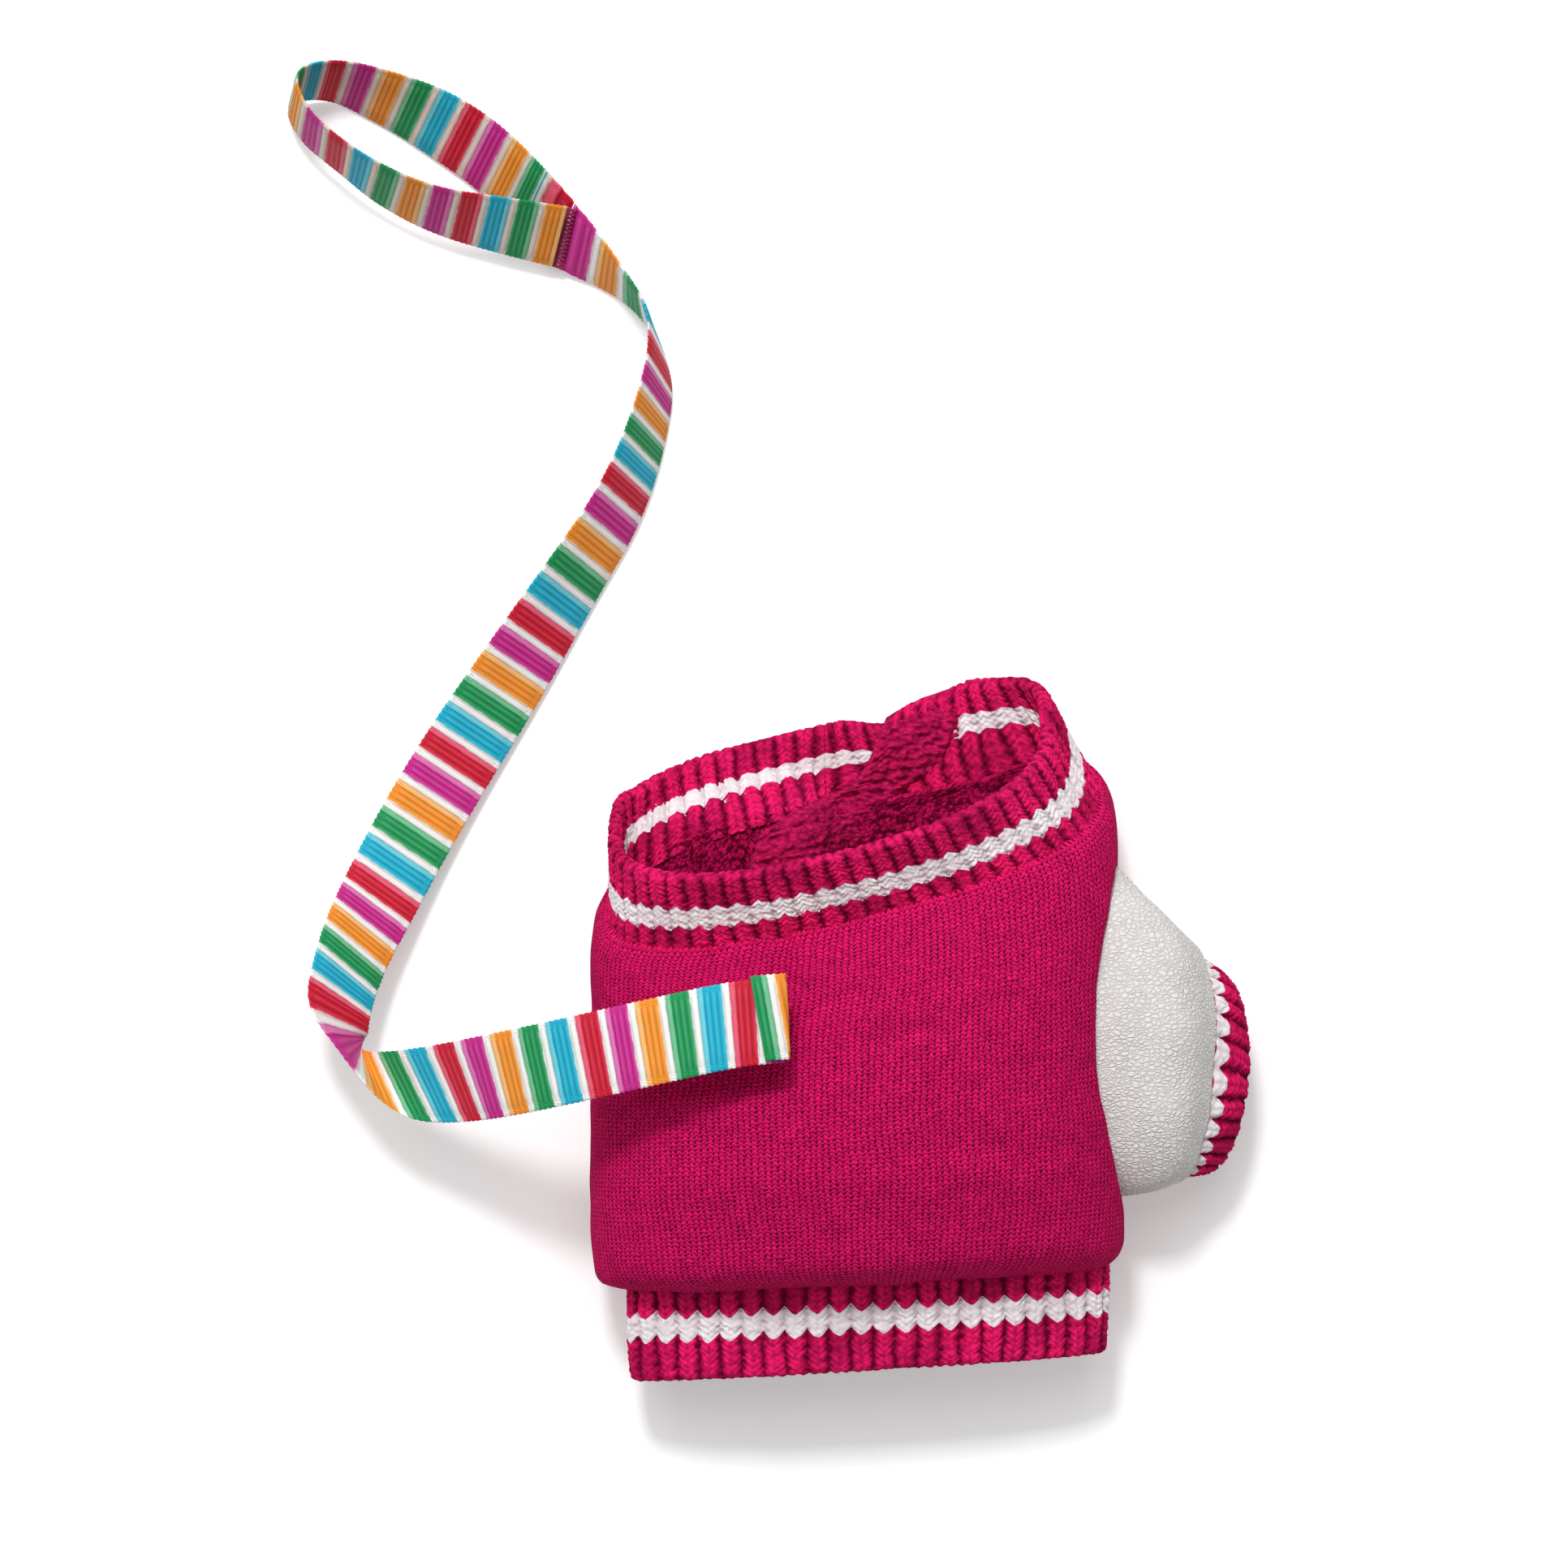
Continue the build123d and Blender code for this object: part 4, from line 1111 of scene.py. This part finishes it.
FLAP_OVERHANG = 3.0  # the flap's cloth runs past the fold line on to the jacket
flap_start_x = flap_hinge_x - FLAP_OVERHANG
flap_start = fleece_tube.angle_at(FLEECE_YS, flap_start_x)
flap_end = fleece_tube.angle_at(FLEECE_YS, flap_edge_x)
underlap_end = fleece_tube.angle_at(FLEECE_YS, underlap_edge(FLEECE_YS))
back, back_size = fleece_panel("back_panel", right_seam, left_seam, armhole=True)
belly_right, right_size = fleece_panel(
    "belly_panel_right", 360 + right_seam, underlap_end, UNDERLAP_DEPTH, armhole=True)
belly_left, left_size = fleece_panel("belly_panel_left", left_seam, flap_start, left_hole=True)
flap, flap_size = fleece_panel("belly_flap", flap_start, flap_end)


# -------- rib bands
RIB_PITCH = 2.5
RIB_DEPTH = 0.55  # valleys between the ribs
YARN = 0.22  # how far each stitch's arm stands out
RIB_COURSE = 0.67  # one row of the knitting
RIB_SLOPE = 0.95  # how far an arm of a stitch climbs from a rib's middle to its side


def rib_depth_and_painted_shade(across, along):
    """Depth below the ridges, and a painted shade and highlight: a tone from 0, dark in the valleys, to 1,
    light on the yarn's crown.
    across counts ribs; along is the distance from the rim, negative on the inside."""
    face = np.clip(along, -1, 1)
    over = 1 - 0.5 * bell(along, 1.7)
    place = across * RIB_PITCH
    lumps = 2.2 * ripple(place, along, 0.9, 25)
    drift = 0.22 * ripple(place, along, 3.0, 23) + 0.16 * ripple(place, along, 1.1, 24)
    total = 0.06 * lumps
    tone = np.zeros(across.shape)
    for side, shift in ((1, 0.0), (-1, 0.5)):
        share = smooth((1 + side * face) / 2)
        column = np.floor(across + shift)
        aside = np.mod(across + shift, 1) - 0.5
        off = np.clip(np.abs(aside) * 2 + drift * np.sign(aside), 0, 1)
        ridge = 1 - off**2.3
        wander = 0.14 * np.sin(column * 2.7) + 0.2 * ripple(place, along, 1.6, 21)
        climb = (np.abs(along) + wander - off * RIB_SLOPE) / RIB_COURSE
        row = np.floor(climb)
        fat = 1 + 0.55 * np.sin(column * 12.9898 + row * 78.233) * np.cos(row * 3.1 + column)
        yarn = fat * yarn_round(climb)
        parting = bell(off, 0.16)
        depth = RIB_DEPTH * (1 - ridge) * (1 + 0.3 * lumps) - YARN * yarn * (1 - 0.45 * parting)
        total += share * over * (depth + 0.1 * parting)
        # painted shade and highlight: darker in the valleys and at the stitches' parting, lighter on the
        # yarn's crown
        light = (ridge + 0.25 * lumps) * (0.3 + 0.7 * yarn * (1 - 0.5 * parting))
        tone += share * np.clip(light, 0, 1)
    return total, tone


def band_profile(height):
    """Distance from the rim, inset and distance along the cloth from the rim's crown, down one side
    of a band, round its rim and up the other."""
    radius = rib / 2
    flat = np.linspace(height, radius, int((height - radius) / 0.13) + 1)
    turn = np.linspace(0, math.pi, 17)[1:-1]
    along = flat - radius + radius * math.pi / 2
    outer = np.stack([flat, 0 * flat, along], axis=1)
    crown = radius * np.stack([1 - np.sin(turn), 1 - np.cos(turn), math.pi / 2 - turn], axis=1)
    inner = np.stack([flat, 0 * flat + rib, -along], axis=1)[::-1]
    return np.concatenate([outer, crown, inner])


def rib_piece(name, surface, height, hidden, pitch, spacing, material, samples=200):
    """A rib band with so much of it hidden in the seam, and its length round the middle.
    surface(distance, share, inset) gives its points from the rim's distance."""
    share = np.linspace(0, 1, samples)[None]
    middle_line = surface(np.full(share.shape, height / 2), share, 0 * share)
    length = path_lengths(middle_line, 1)[0, -1]
    columns = int(length / spacing)
    distance, inset, along = (
        part[:, None].repeat(columns, axis=1) for part in band_profile(height + hidden).T)
    rows = len(distance)
    share = np.linspace(0, 1, columns)[None].repeat(rows, axis=0)
    base = surface(distance, share, inset)
    across = share * round(length / pitch)
    depth, tone = rib_depth_and_painted_shade(across, along)
    out = normals_of(base)
    outward = surface(distance, share, inset - 0.2) - base
    out = turned(out, out[rows // 4], outward[rows // 4])
    points = base - out * depth[..., None]
    points[..., 2] = np.maximum(points[..., 2], TABLE_GAP)
    index = np.arange(rows * columns).reshape(rows, columns)
    close = np.stack([index[-1, :-1], index[-1, 1:], index[0, 1:], index[0, :-1]], axis=-1)
    ends = [index[[k, k + 1, rows - 2 - k, rows - 1 - k]][:, [0, -1]].T for k in range(rows // 2 - 1)]
    faces = np.concatenate([grid_faces(rows, columns), close, *ends])
    uv = pair_grid(across, along).reshape(-1, 2)
    # the relief field carries the painted shade of the valleys and the painted highlight of the crowns to
    # the material
    piece = make_mesh(name, points.reshape(-1, 3), faces, uv, material, {"relief": tone.ravel()})
    return piece, length


RIB_SPACING = 0.15  # between the points of a band, along it
BAND_ALLOWANCE = 1.4  # of a band's height that goes into the seam
STRIPE = (4.7, 7.45)  # the white stripe's edges, from the rim's crown, in a rib's middle
BAND_RIB = rib_material("rib_band", *STRIPE, RIB_SLOPE, 1.25)
BAND_END = 0.15  # share of a band at each end that follows the end's own line
# (x, how much higher than the rest the underlap's rim and stripe stand there)
UNDERLAP_RISE = ((-5, -1.8), (-1.3, -0.4), (1, 0.2), (4.8, 0.9), (8.3, 1.7), (12, 1.7), (16, 1.0), (20, 0))
underlap_rise = hand_line(UNDERLAP_RISE)


def band_step(x, angle):
    """How far a band's end inside the closure steps up over the flap's end."""
    return np.where(angle < 0, (rib + gap) * step_up(x), 0)


def belly_droop(x, angle):
    """The neck band's rim stands lower on the belly's outer layer than on its underlap."""
    outer_layer = smooth((angle - 196.0) / 18.0)
    return -outer_layer * (1.0 + 1.6 * smooth((x + 10) / 7) + 2.4 * smooth((x + 3) / 12))


def band_surface(tube, rim_y, toward_seam, height, droops, last_x, turn):
    """The points of a band, from the fold line to the line last_x less a turn, by the distance off
    its rim and the share of its way round. The ribs keep the angles of the band's middle."""

    def surface(distance, share, inset):
        ys = rim_y + toward_seam * np.append(distance[:, 0], height / 2)
        near = np.clip(ys, tube.knots[0], tube.knots[-1])
        firsts, lasts = tube.angle_at(near, flap_start_x), tube.angle_at(near, last_x) - turn
        angles = tube.even_angles(near, firsts, lasts, share.shape[1])
        own, middle = angles[:-1], angles[-1:]
        near_end = smooth((np.abs(share - 0.5) - 0.5 + BAND_END) / BAND_END)
        angles = middle + (own - middle) * near_end
        own_y = ys[:-1, None]
        x = tube.point(own_y, angles)[..., 0]
        spot = tube.point(own_y, angles, inset + band_step(x, angles))
        if droops:
            to_rim = 1 - distance / height
            rise = np.where(angles < 0, underlap_rise(x), 0)
            spot[..., 1] += belly_droop(x, angles) * smooth(to_rim) + rise * smooth(2 * to_rim)
        return spot
    return surface


def make_band(name, tube, rim_y, toward_seam, height, droops=False):
    """The band from the fold line round by the left side and over the back to its end inside
    the closure, then the part that belongs to the flap."""
    settings = (height, BAND_ALLOWANCE, RIB_PITCH, RIB_SPACING, BAND_RIB)
    whole = band_surface(tube, rim_y, toward_seam, height, droops, underlap_edge_x, 360)
    own = band_surface(tube, rim_y, toward_seam, height, droops, flap_edge_x, 0)
    return *rib_piece(name, whole, *settings, samples=400), *rib_piece(name + "_flap_end", own, *settings)


waist, waist_length, waist_end, waist_end_length = make_band(
    "waist_band", waist_tube, waist_rim_y + WAIST_RAISED, 1, waist_band + SEAM_RAISED - WAIST_RAISED)
neck, neck_length, neck_end, neck_end_length = make_band(
    "neck_band", neck_tube, neck_rim_y, -1, neck_band, droops=True)

OVERLOCK_TONE = "#a30f48"


def make_waist_overlock():
    """The looped seam allowance inside the waist band, where the fleece is joined to it."""
    ys = waist_seam_y + SEAM_RAISED - 1.2 + np.linspace(-0.8, 0.8, 9)
    firsts, lasts = waist_tube.angle_at(ys, flap_start_x), waist_tube.angle_at(ys, underlap_edge_x) - 360
    angles = waist_tube.even_angles(ys, firsts, lasts, 900)
    ys = ys[:, None]
    x, y, _ = np.moveaxis(waist_tube.point(ys, angles), -1, 0)
    depth = rib + 0.1 + band_step(x, angles)
    loops = 0.25 * np.abs(np.cos(math.pi * x / 0.55 + y * 2))
    outer = waist_tube.point(ys, angles, depth)
    inner = waist_tube.point(ys, angles, depth + 0.45 + loops)
    cloth = thread_material("overlock_waist", OVERLOCK_TONE)
    return layer_piece("waist_seam_overlock", outer, inner, pair_grid(x, ys), cloth)


waist_overlock = make_waist_overlock()


# -------- sleeves
cuff_seam_middle = np.array([right_side_x + 6.2, armhole_middle[0] - 4.0, armhole_middle[1] - 1.0])
cuff_seam_half = (armhole_half[0] - 5.4, 6.2)
bulge_middle = np.array([right_side_x + 2.4, armhole_middle[0] - 1.8, armhole_middle[1]])
bulge_half = (armhole_half[0] - 2.5, 8.8)
SLEEVE_SKEW = 0.9  # the sleeve's lower end stands this much further in
ROOT_DEPTH = 1.6  # of the sleeve inside the armhole
SLEEVE_COLUMNS = 260
SLEEVE_ROWS = 70
SLEEVE_POWER = 2.3
LEATHER_CLOTH = leather_material()


def oval_grid(middles, alongs, ups, columns, power=2.0):
    """Rings of points from lists of middles and half-axis vectors; power 2 makes ellipses."""
    turn = np.linspace(0, 2 * math.pi, columns)[:, None]
    middles, alongs, ups = (np.array(part)[:, None] for part in (middles, alongs, ups))
    cosine, sine = (np.sign(part) * np.abs(part) ** (2 / power) for part in (np.cos(turn), np.sin(turn)))
    return middles + cosine * alongs + sine * ups


def through(knots, rings, rows):
    """Rows of points on a smooth surface through rings at knots from 0 to 1."""
    knots = np.array(knots)
    return hermite(knots, rings, np.gradient(rings, knots, axis=0), np.linspace(0, 1, rows))


def tilted(half, inset, droop, skew=0.0):
    """The two half-axis vectors of a ring whose upper side leans out by droop degrees."""
    turn = math.radians(droop)
    high = half[1] - inset
    return (skew, half[0] - inset, 0), (high * math.sin(turn), 0, high * math.cos(turn))


def armhole_ring(margin):
    """The sleeve's root, on the tube's side just inside the armhole's edge."""
    turn = np.linspace(0, 2 * math.pi, SLEEVE_COLUMNS)
    y = armhole_middle[0] + (armhole_half[0] - margin) * np.cos(turn)
    z = armhole_middle[1] + (armhole_half[1] - margin) * np.sin(turn)
    ys = np.linspace(FLEECE_LOW, FLEECE_HIGH, 200)[:, None]
    side = fleece_tube.point(ys, np.linspace(-89, 89, 181), fleece * 0.8).reshape(-1, 3)
    x = []
    for own_y, own_z in zip(y, z):
        away = (side[:, 1] - own_y) ** 2 + (side[:, 2] - own_z) ** 2
        nearest = np.argsort(away)[:4]
        x.append(np.average(side[nearest, 0], weights=1 / (away[nearest] + 1e-4)))
    return np.stack([x, y, z], axis=-1)


def sleeve_grid(inset):
    """From inside the armhole over the bulge to the cuff's seam."""
    root = armhole_ring(0.3 + inset)
    alongs, ups = zip(tilted(bulge_half, inset, 20), tilted(cuff_seam_half, inset, 40, SLEEVE_SKEW))
    rings = oval_grid([bulge_middle, cuff_seam_middle], alongs, ups, SLEEVE_COLUMNS, SLEEVE_POWER)
    return through([0.0, 0.18, 0.55, 1.0], np.stack([root - (ROOT_DEPTH, 0, 0), root, *rings]), SLEEVE_ROWS)


def leather_piece(name, outer, inner, u, v):
    piece = layer_piece(name, outer, inner, pair_grid(u, v), LEATHER_CLOTH)
    return piece, (u[:, -1].mean(), v[-1].mean())


def make_right_sleeve():
    outer, inner = sleeve_grid(0.0), sleeve_grid(leather)
    out = normals_of(outer)
    out = turned(out, out, outer - outer.mean(axis=(0, 1)))
    u = path_lengths(outer, 1)
    v = path_lengths(outer, 0)
    to_end = v[-1:] - v
    puckers = 0.10 * np.sin(u / 1.5 + 0.5 * np.sin(u / 4.0)) * bell(to_end, 1.6)
    soft = 0.22 * ripple(outer[..., 1], outer[..., 0], 9.0, 31)
    from_seam = np.minimum(u, np.abs(u[:, -1:] / 2 - u))
    seam = 0.16 * bell(from_seam - 0.5, 0.3) - 0.10 * bell(from_seam - 1.0, 0.18)
    outer += out * (puckers + soft - rolled(to_end, 0.7) * 0.8 + seam)[..., None]
    inner += out * soft[..., None]
    return leather_piece("sleeve_right", outer, inner, u, v)


sleeve_right, sleeve_right_size = make_right_sleeve()

CUFF_LENGTH = 7.6
CUFF_ALLOWANCE = 2.4  # of its cut length that goes into the seam
CUFF_STRIPE = (6.8, 8.3)
CUFF_RIB = rib_material("rib_cuff", *CUFF_STRIPE, 1.0, 2.2)
CUFF_SETTINGS = (1.0, 2.0, 0.13, CUFF_RIB)  # hidden, pitch, spacing and material for rib_piece
SEAM_DROOP = 42  # degrees that the cuff leans at its seam
RIM_DROOP = 52  # and at its rim
cuff_run = math.radians(RIM_DROOP)
cuff_rim_middle = cuff_seam_middle + (
    CUFF_LENGTH * math.cos(cuff_run) * 0.8 + 0.4, -1.9, -CUFF_LENGTH * math.sin(cuff_run))


def cuff_surface(distance, share, inset):
    """From the rim back to the sleeve's end, curling under as it goes."""
    seam = cuff_seam_middle + (gap, 0, 0)
    bend = np.array([1.1, 0, 0.7])
    rows = []
    for part, own_inset in zip(distance[:, 0] / CUFF_LENGTH, inset[:, 0]):
        rest = 1 - part
        middle = seam * part + cuff_rim_middle * rest + bend * 4 * part * rest
        half = (cuff_seam_half[0] - 1.1 * part - 2.9 * rest, cuff_seam_half[1] - 0.4 * part - 1.2 * rest)
        along, up = tilted(half, own_inset, SEAM_DROOP * part + RIM_DROOP * rest, SLEEVE_SKEW)
        power = SLEEVE_POWER * part + 2 * rest
        rows.append(oval_grid([middle], [along], [up], share.shape[1], power)[0])
    return np.array(rows)


cuff_right, cuff_round = rib_piece("cuff_right", cuff_surface, CUFF_LENGTH, *CUFF_SETTINGS)

left_low, left_high = frame_box("sleeve_left")
left_cuff_low, left_cuff_high = frame_box("cuff_left")
LEFT_MIDDLE_Y = (left_low.y + left_high.y) / 2
LEFT_CUFF_LENGTH = left_cuff_high.x - left_cuff_low.x
FOLDED_HEIGHT = sleeve_pocket - gap
FOLDED_HALF = 2.8  # half the height of the folded sleeve
LEFT_LEAN = math.radians(50)  # of the ring between the armhole and the folded part


def make_left_sleeve():
    """From the armhole in the underside down to the table and along it, pressed flat."""
    half_y = (left_high.y - left_low.y) / 2
    middles = [(*LEFT_HOLE_MIDDLE, FOLDED_HEIGHT), (-27.6, 0, 3.0), (left_high.x, 0, FOLDED_HEIGHT / 2)]
    grids = []
    for inset in (0.0, leather):
        depth = 4.2 - inset
        alongs = [(0, half_y - narrower - inset, 0) for narrower in (0, 1.0, 2.2)]
        lean = (depth * math.sin(LEFT_LEAN), 0, depth * math.cos(LEFT_LEAN))
        ups = [(6.6 - inset, 0, 0), lean, (0, 0, FOLDED_HALF - inset)]
        grids.append(through([0.0, 0.45, 1.0], oval_grid(middles, alongs, ups, 220), 50))
    outer, inner = grids
    outer[..., 2] = np.maximum(outer[..., 2], 0.03)
    inner[..., 2] = np.maximum(inner[..., 2], 0.5)
    return leather_piece("sleeve_left", outer, inner, path_lengths(outer, 1), path_lengths(outer, 0))


def left_cuff_surface(distance, share, inset):
    turn = share * 2 * math.pi
    half_y = (left_cuff_high.y - left_cuff_low.y) / 2 - 0.8 * (1 - distance / LEFT_CUFF_LENGTH) - inset
    half_z = np.maximum(FOLDED_HALF - inset, 0.9)
    y = LEFT_MIDDLE_Y + half_y * np.cos(turn)
    return np.stack([left_cuff_high.x - distance, y, FOLDED_HEIGHT / 2 + half_z * np.sin(turn)], axis=-1)


sleeve_left, sleeve_left_size = make_left_sleeve()
cuff_left, left_cuff_round = rib_piece("cuff_left", left_cuff_surface, LEFT_CUFF_LENGTH, *CUFF_SETTINGS)


# -------- closure facing
FACING_WIDTH = 10.0
FACING_THICKNESS = 0.8
# (y, how far the facing reaches across from the free edge)
FACING_REACH = ((6, 8), (12, 11), (16.5, 15), (18.3, 16), (23, 14), (27.6, 8.4))


def make_facing():
    """A strip of looped knit along the underlap's free edge, from the neck rim inwards."""
    ys = np.linspace(FLEECE_LOW + 3.4, neck_rim_y - 0.2, 460)[:, None]
    reach = hand_line(FACING_REACH)(ys)
    from_edge = np.linspace(0, 1, 110) * reach
    xs = underlap_edge(ys) - 0.1 + from_edge
    in_neck = smooth((ys - (neck_seam_y - 2.0)) / 3.0)
    depth = (1 - in_neck) * (UNDERLAP_DEPTH + fleece + 0.1) + in_neck * (2 * rib + gap + 0.1)
    depth -= 1.5 * smooth((ys - neck_rim_y + 2.4) / 2.2)
    rise = underlap_rise(xs) * smooth((ys - neck_seam_y) / 5.0)
    low, top = np.empty((2, *xs.shape, 3))
    seam_row = np.searchsorted(ys[:, 0], neck_seam_y - 1)
    for tube, rows in ((fleece_tube, slice(None, seam_row)), (neck_tube, slice(seam_row, None))):
        angles = tube.angle_at(ys[rows], xs[rows])
        low[rows] = tube.point(ys[rows], angles, depth[rows])
        top[rows] = tube.point(ys[rows], angles, depth[rows] + FACING_THICKNESS)
    low[..., 1] += rise
    top[..., 1] += rise
    x, y = top[..., 0], top[..., 1]
    serged = np.cos(2 * math.pi * ys / 0.75 + 2.0 * ripple(ys, from_edge, 3.0, 43))
    serged = serged * np.exp(-(from_edge / 3.2) ** 4)
    rough = 0.7 * ripple(x, y, 1.5, 41) + 0.5 * ripple(x, y, 0.8, 42) + 0.16 * serged
    near_free = np.clip(from_edge / 1.2, 0, 1)
    near_sewn = np.clip((reach - from_edge) / 3.5, 0, 1)
    sewn_down = (1 - near_sewn) ** 2
    top[..., 2] += rough * (0.3 + 0.7 * near_free * near_sewn)
    top[..., 2] -= 0.7 * (1 - near_free) ** 2 + 1.2 * sewn_down
    low[..., 2] -= 0.5 * sewn_down
    top[..., 2] = np.maximum(top[..., 2], low[..., 2] + 0.05)
    cloth = loops_material("looped_facing", "#5e0024", "#e6216c")
    piece = layer_piece("closure_facing", top, low, pair_grid(x, y), cloth)
    return piece, (FACING_WIDTH, path_lengths(low, 0)[-1].mean())


facing, facing_size = make_facing()

# -------- carried-over pieces
OVERLOCKS = {
    "neck_seam_overlock": "overlock_neck",
    "side_seam_overlock_left": "overlock_left",
    "side_seam_overlock_right": "overlock_right",
    "armhole_seam_overlock_right": "overlock_armhole",
    "cuff_seam_overlock_right": "overlock_cuff_right",
    "cuff_seam_overlock_left": "overlock_cuff_left",
}
carried = {node: thread_material(name, OVERLOCK_TONE) for node, name in OVERLOCKS.items()}
carried["loop_tape"] = loops_material("loop_tape", "#8e0a3e", "#c72a6b", 1.0)
carried["hook_tape"] = loops_material("hook_tape", "#7a0a35", "#a8325f", 0.8)
for node, material in carried.items():
    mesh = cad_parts[node].data
    mesh.materials.clear()
    mesh.materials.append(material)


# -------- what each piece rides on and replaces
def flat_size(width, length):
    return (round(width * MM, 4), round(length * MM, 4))


# piece, body, slot and the node that it replaces
RIDES = [
    (back, "jacket", "fleece", "back_panel"),
    (belly_right, "jacket", "fleece", "belly_panel_right"),
    (belly_left, "jacket", "fleece", "belly_panel_left"),
    (waist, "jacket", "rib_band", "waist_band"),
    (neck, "jacket", "rib_band", "neck_band"),
    (waist_overlock, "jacket", "sewing_thread", "waist_seam_overlock"),
    (facing, "jacket", "looped_facing", "closure_facing"),
    (cuff_right, "right_sleeve", "rib_cuff", "cuff_right"),
    (cuff_left, "left_sleeve", "rib_cuff", "cuff_left"),
    (hand_loop, "hand_loop", "striped_ribbon", "lead_hand_loop"),
    (bar_tack, "lead", "sewing_thread", "lead_bar_tack"),
    (tack_stitches, "jacket", "sewing_thread", "lead_tack_stitches"),
]
for piece, body, slot, node in RIDES:
    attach(piece, body)
    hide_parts(node)

# where the cloth leaves the first body and where it has joined the second, in millimetres
FOLD = ((-10, 0, 0), (-6, 0, 0))
LEAD_BEND = ((-15.6, 2.6, 35.6), (-22, 2.2, 36))
# piece, its two bodies, slot, the node that it replaces, and the two places
BLENDS = [
    (flap, "jacket", "flap", "fleece", "belly_flap", *FOLD),
    (waist_end, "jacket", "flap", "rib_band", "waist_band_flap_end", *FOLD),
    (neck_end, "jacket", "flap", "rib_band", "neck_band_flap_end", *FOLD),
    (sleeve_right, "jacket", "right_sleeve", "sleeve_leather", "sleeve_right", (21.5, 0, 12), (28, 0, 12)),
    (sleeve_left, "jacket", "left_sleeve", "sleeve_leather", "sleeve_left", (-33, 0, 6), (-27, 0, 2)),
    (lead_ribbon, "jacket", "lead", "striped_ribbon", "lead_ribbon", *LEAD_BEND),
    (hem, "jacket", "lead", "striped_ribbon", "lead_end_hem", *LEAD_BEND),
]
for piece, first_body, second_body, slot, node, start, end in BLENDS:
    metres(*start)
    metres(*end)
    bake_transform(piece)
    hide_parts(node)

metres(*LEAD_ROUTE[0][:3])
metres(*LOOP_ROUTE[0][:3])

AREA_SHARE = 0.9  # of the flat size that the armhole leaves
back_area, right_area = (width * length * MM**2 * AREA_SHARE for width, length in (back_size, right_size))
waist_tall, neck_tall = waist_band + BAND_ALLOWANCE, neck_band + BAND_ALLOWANCE
cuff_tall = CUFF_LENGTH + CUFF_ALLOWANCE
# piece, its width and length in millimetres, how it is held, and what else is said of it
SHEETS = [
    (back, back_size, "laid", {"rests_on": ["belly_panel_left", "belly_panel_right"], "area": back_area}),
    (belly_right, right_size, "laid", {"area": right_area}),
    (belly_left, left_size, "laid", {}),
    (flap, flap_size, "laid", {}),
    (waist, (waist_length, waist_tall), "laid", {}),
    (neck, (neck_length, neck_tall), "laid", {}),
    (waist_end, (waist_end_length, waist_tall), "laid", {}),
    (neck_end, (neck_end_length, neck_tall), "laid", {}),
    (sleeve_right, sleeve_right_size, "laid", {}),
    (sleeve_left, sleeve_left_size, "folded", {}),
    (cuff_right, (cuff_round, cuff_tall), "laid", {}),
    (cuff_left, (left_cuff_round, cuff_tall), "folded", {}),
    (facing, facing_size, "laid", {}),
]
for piece, size, held, more in SHEETS:
    flat_size(*size)
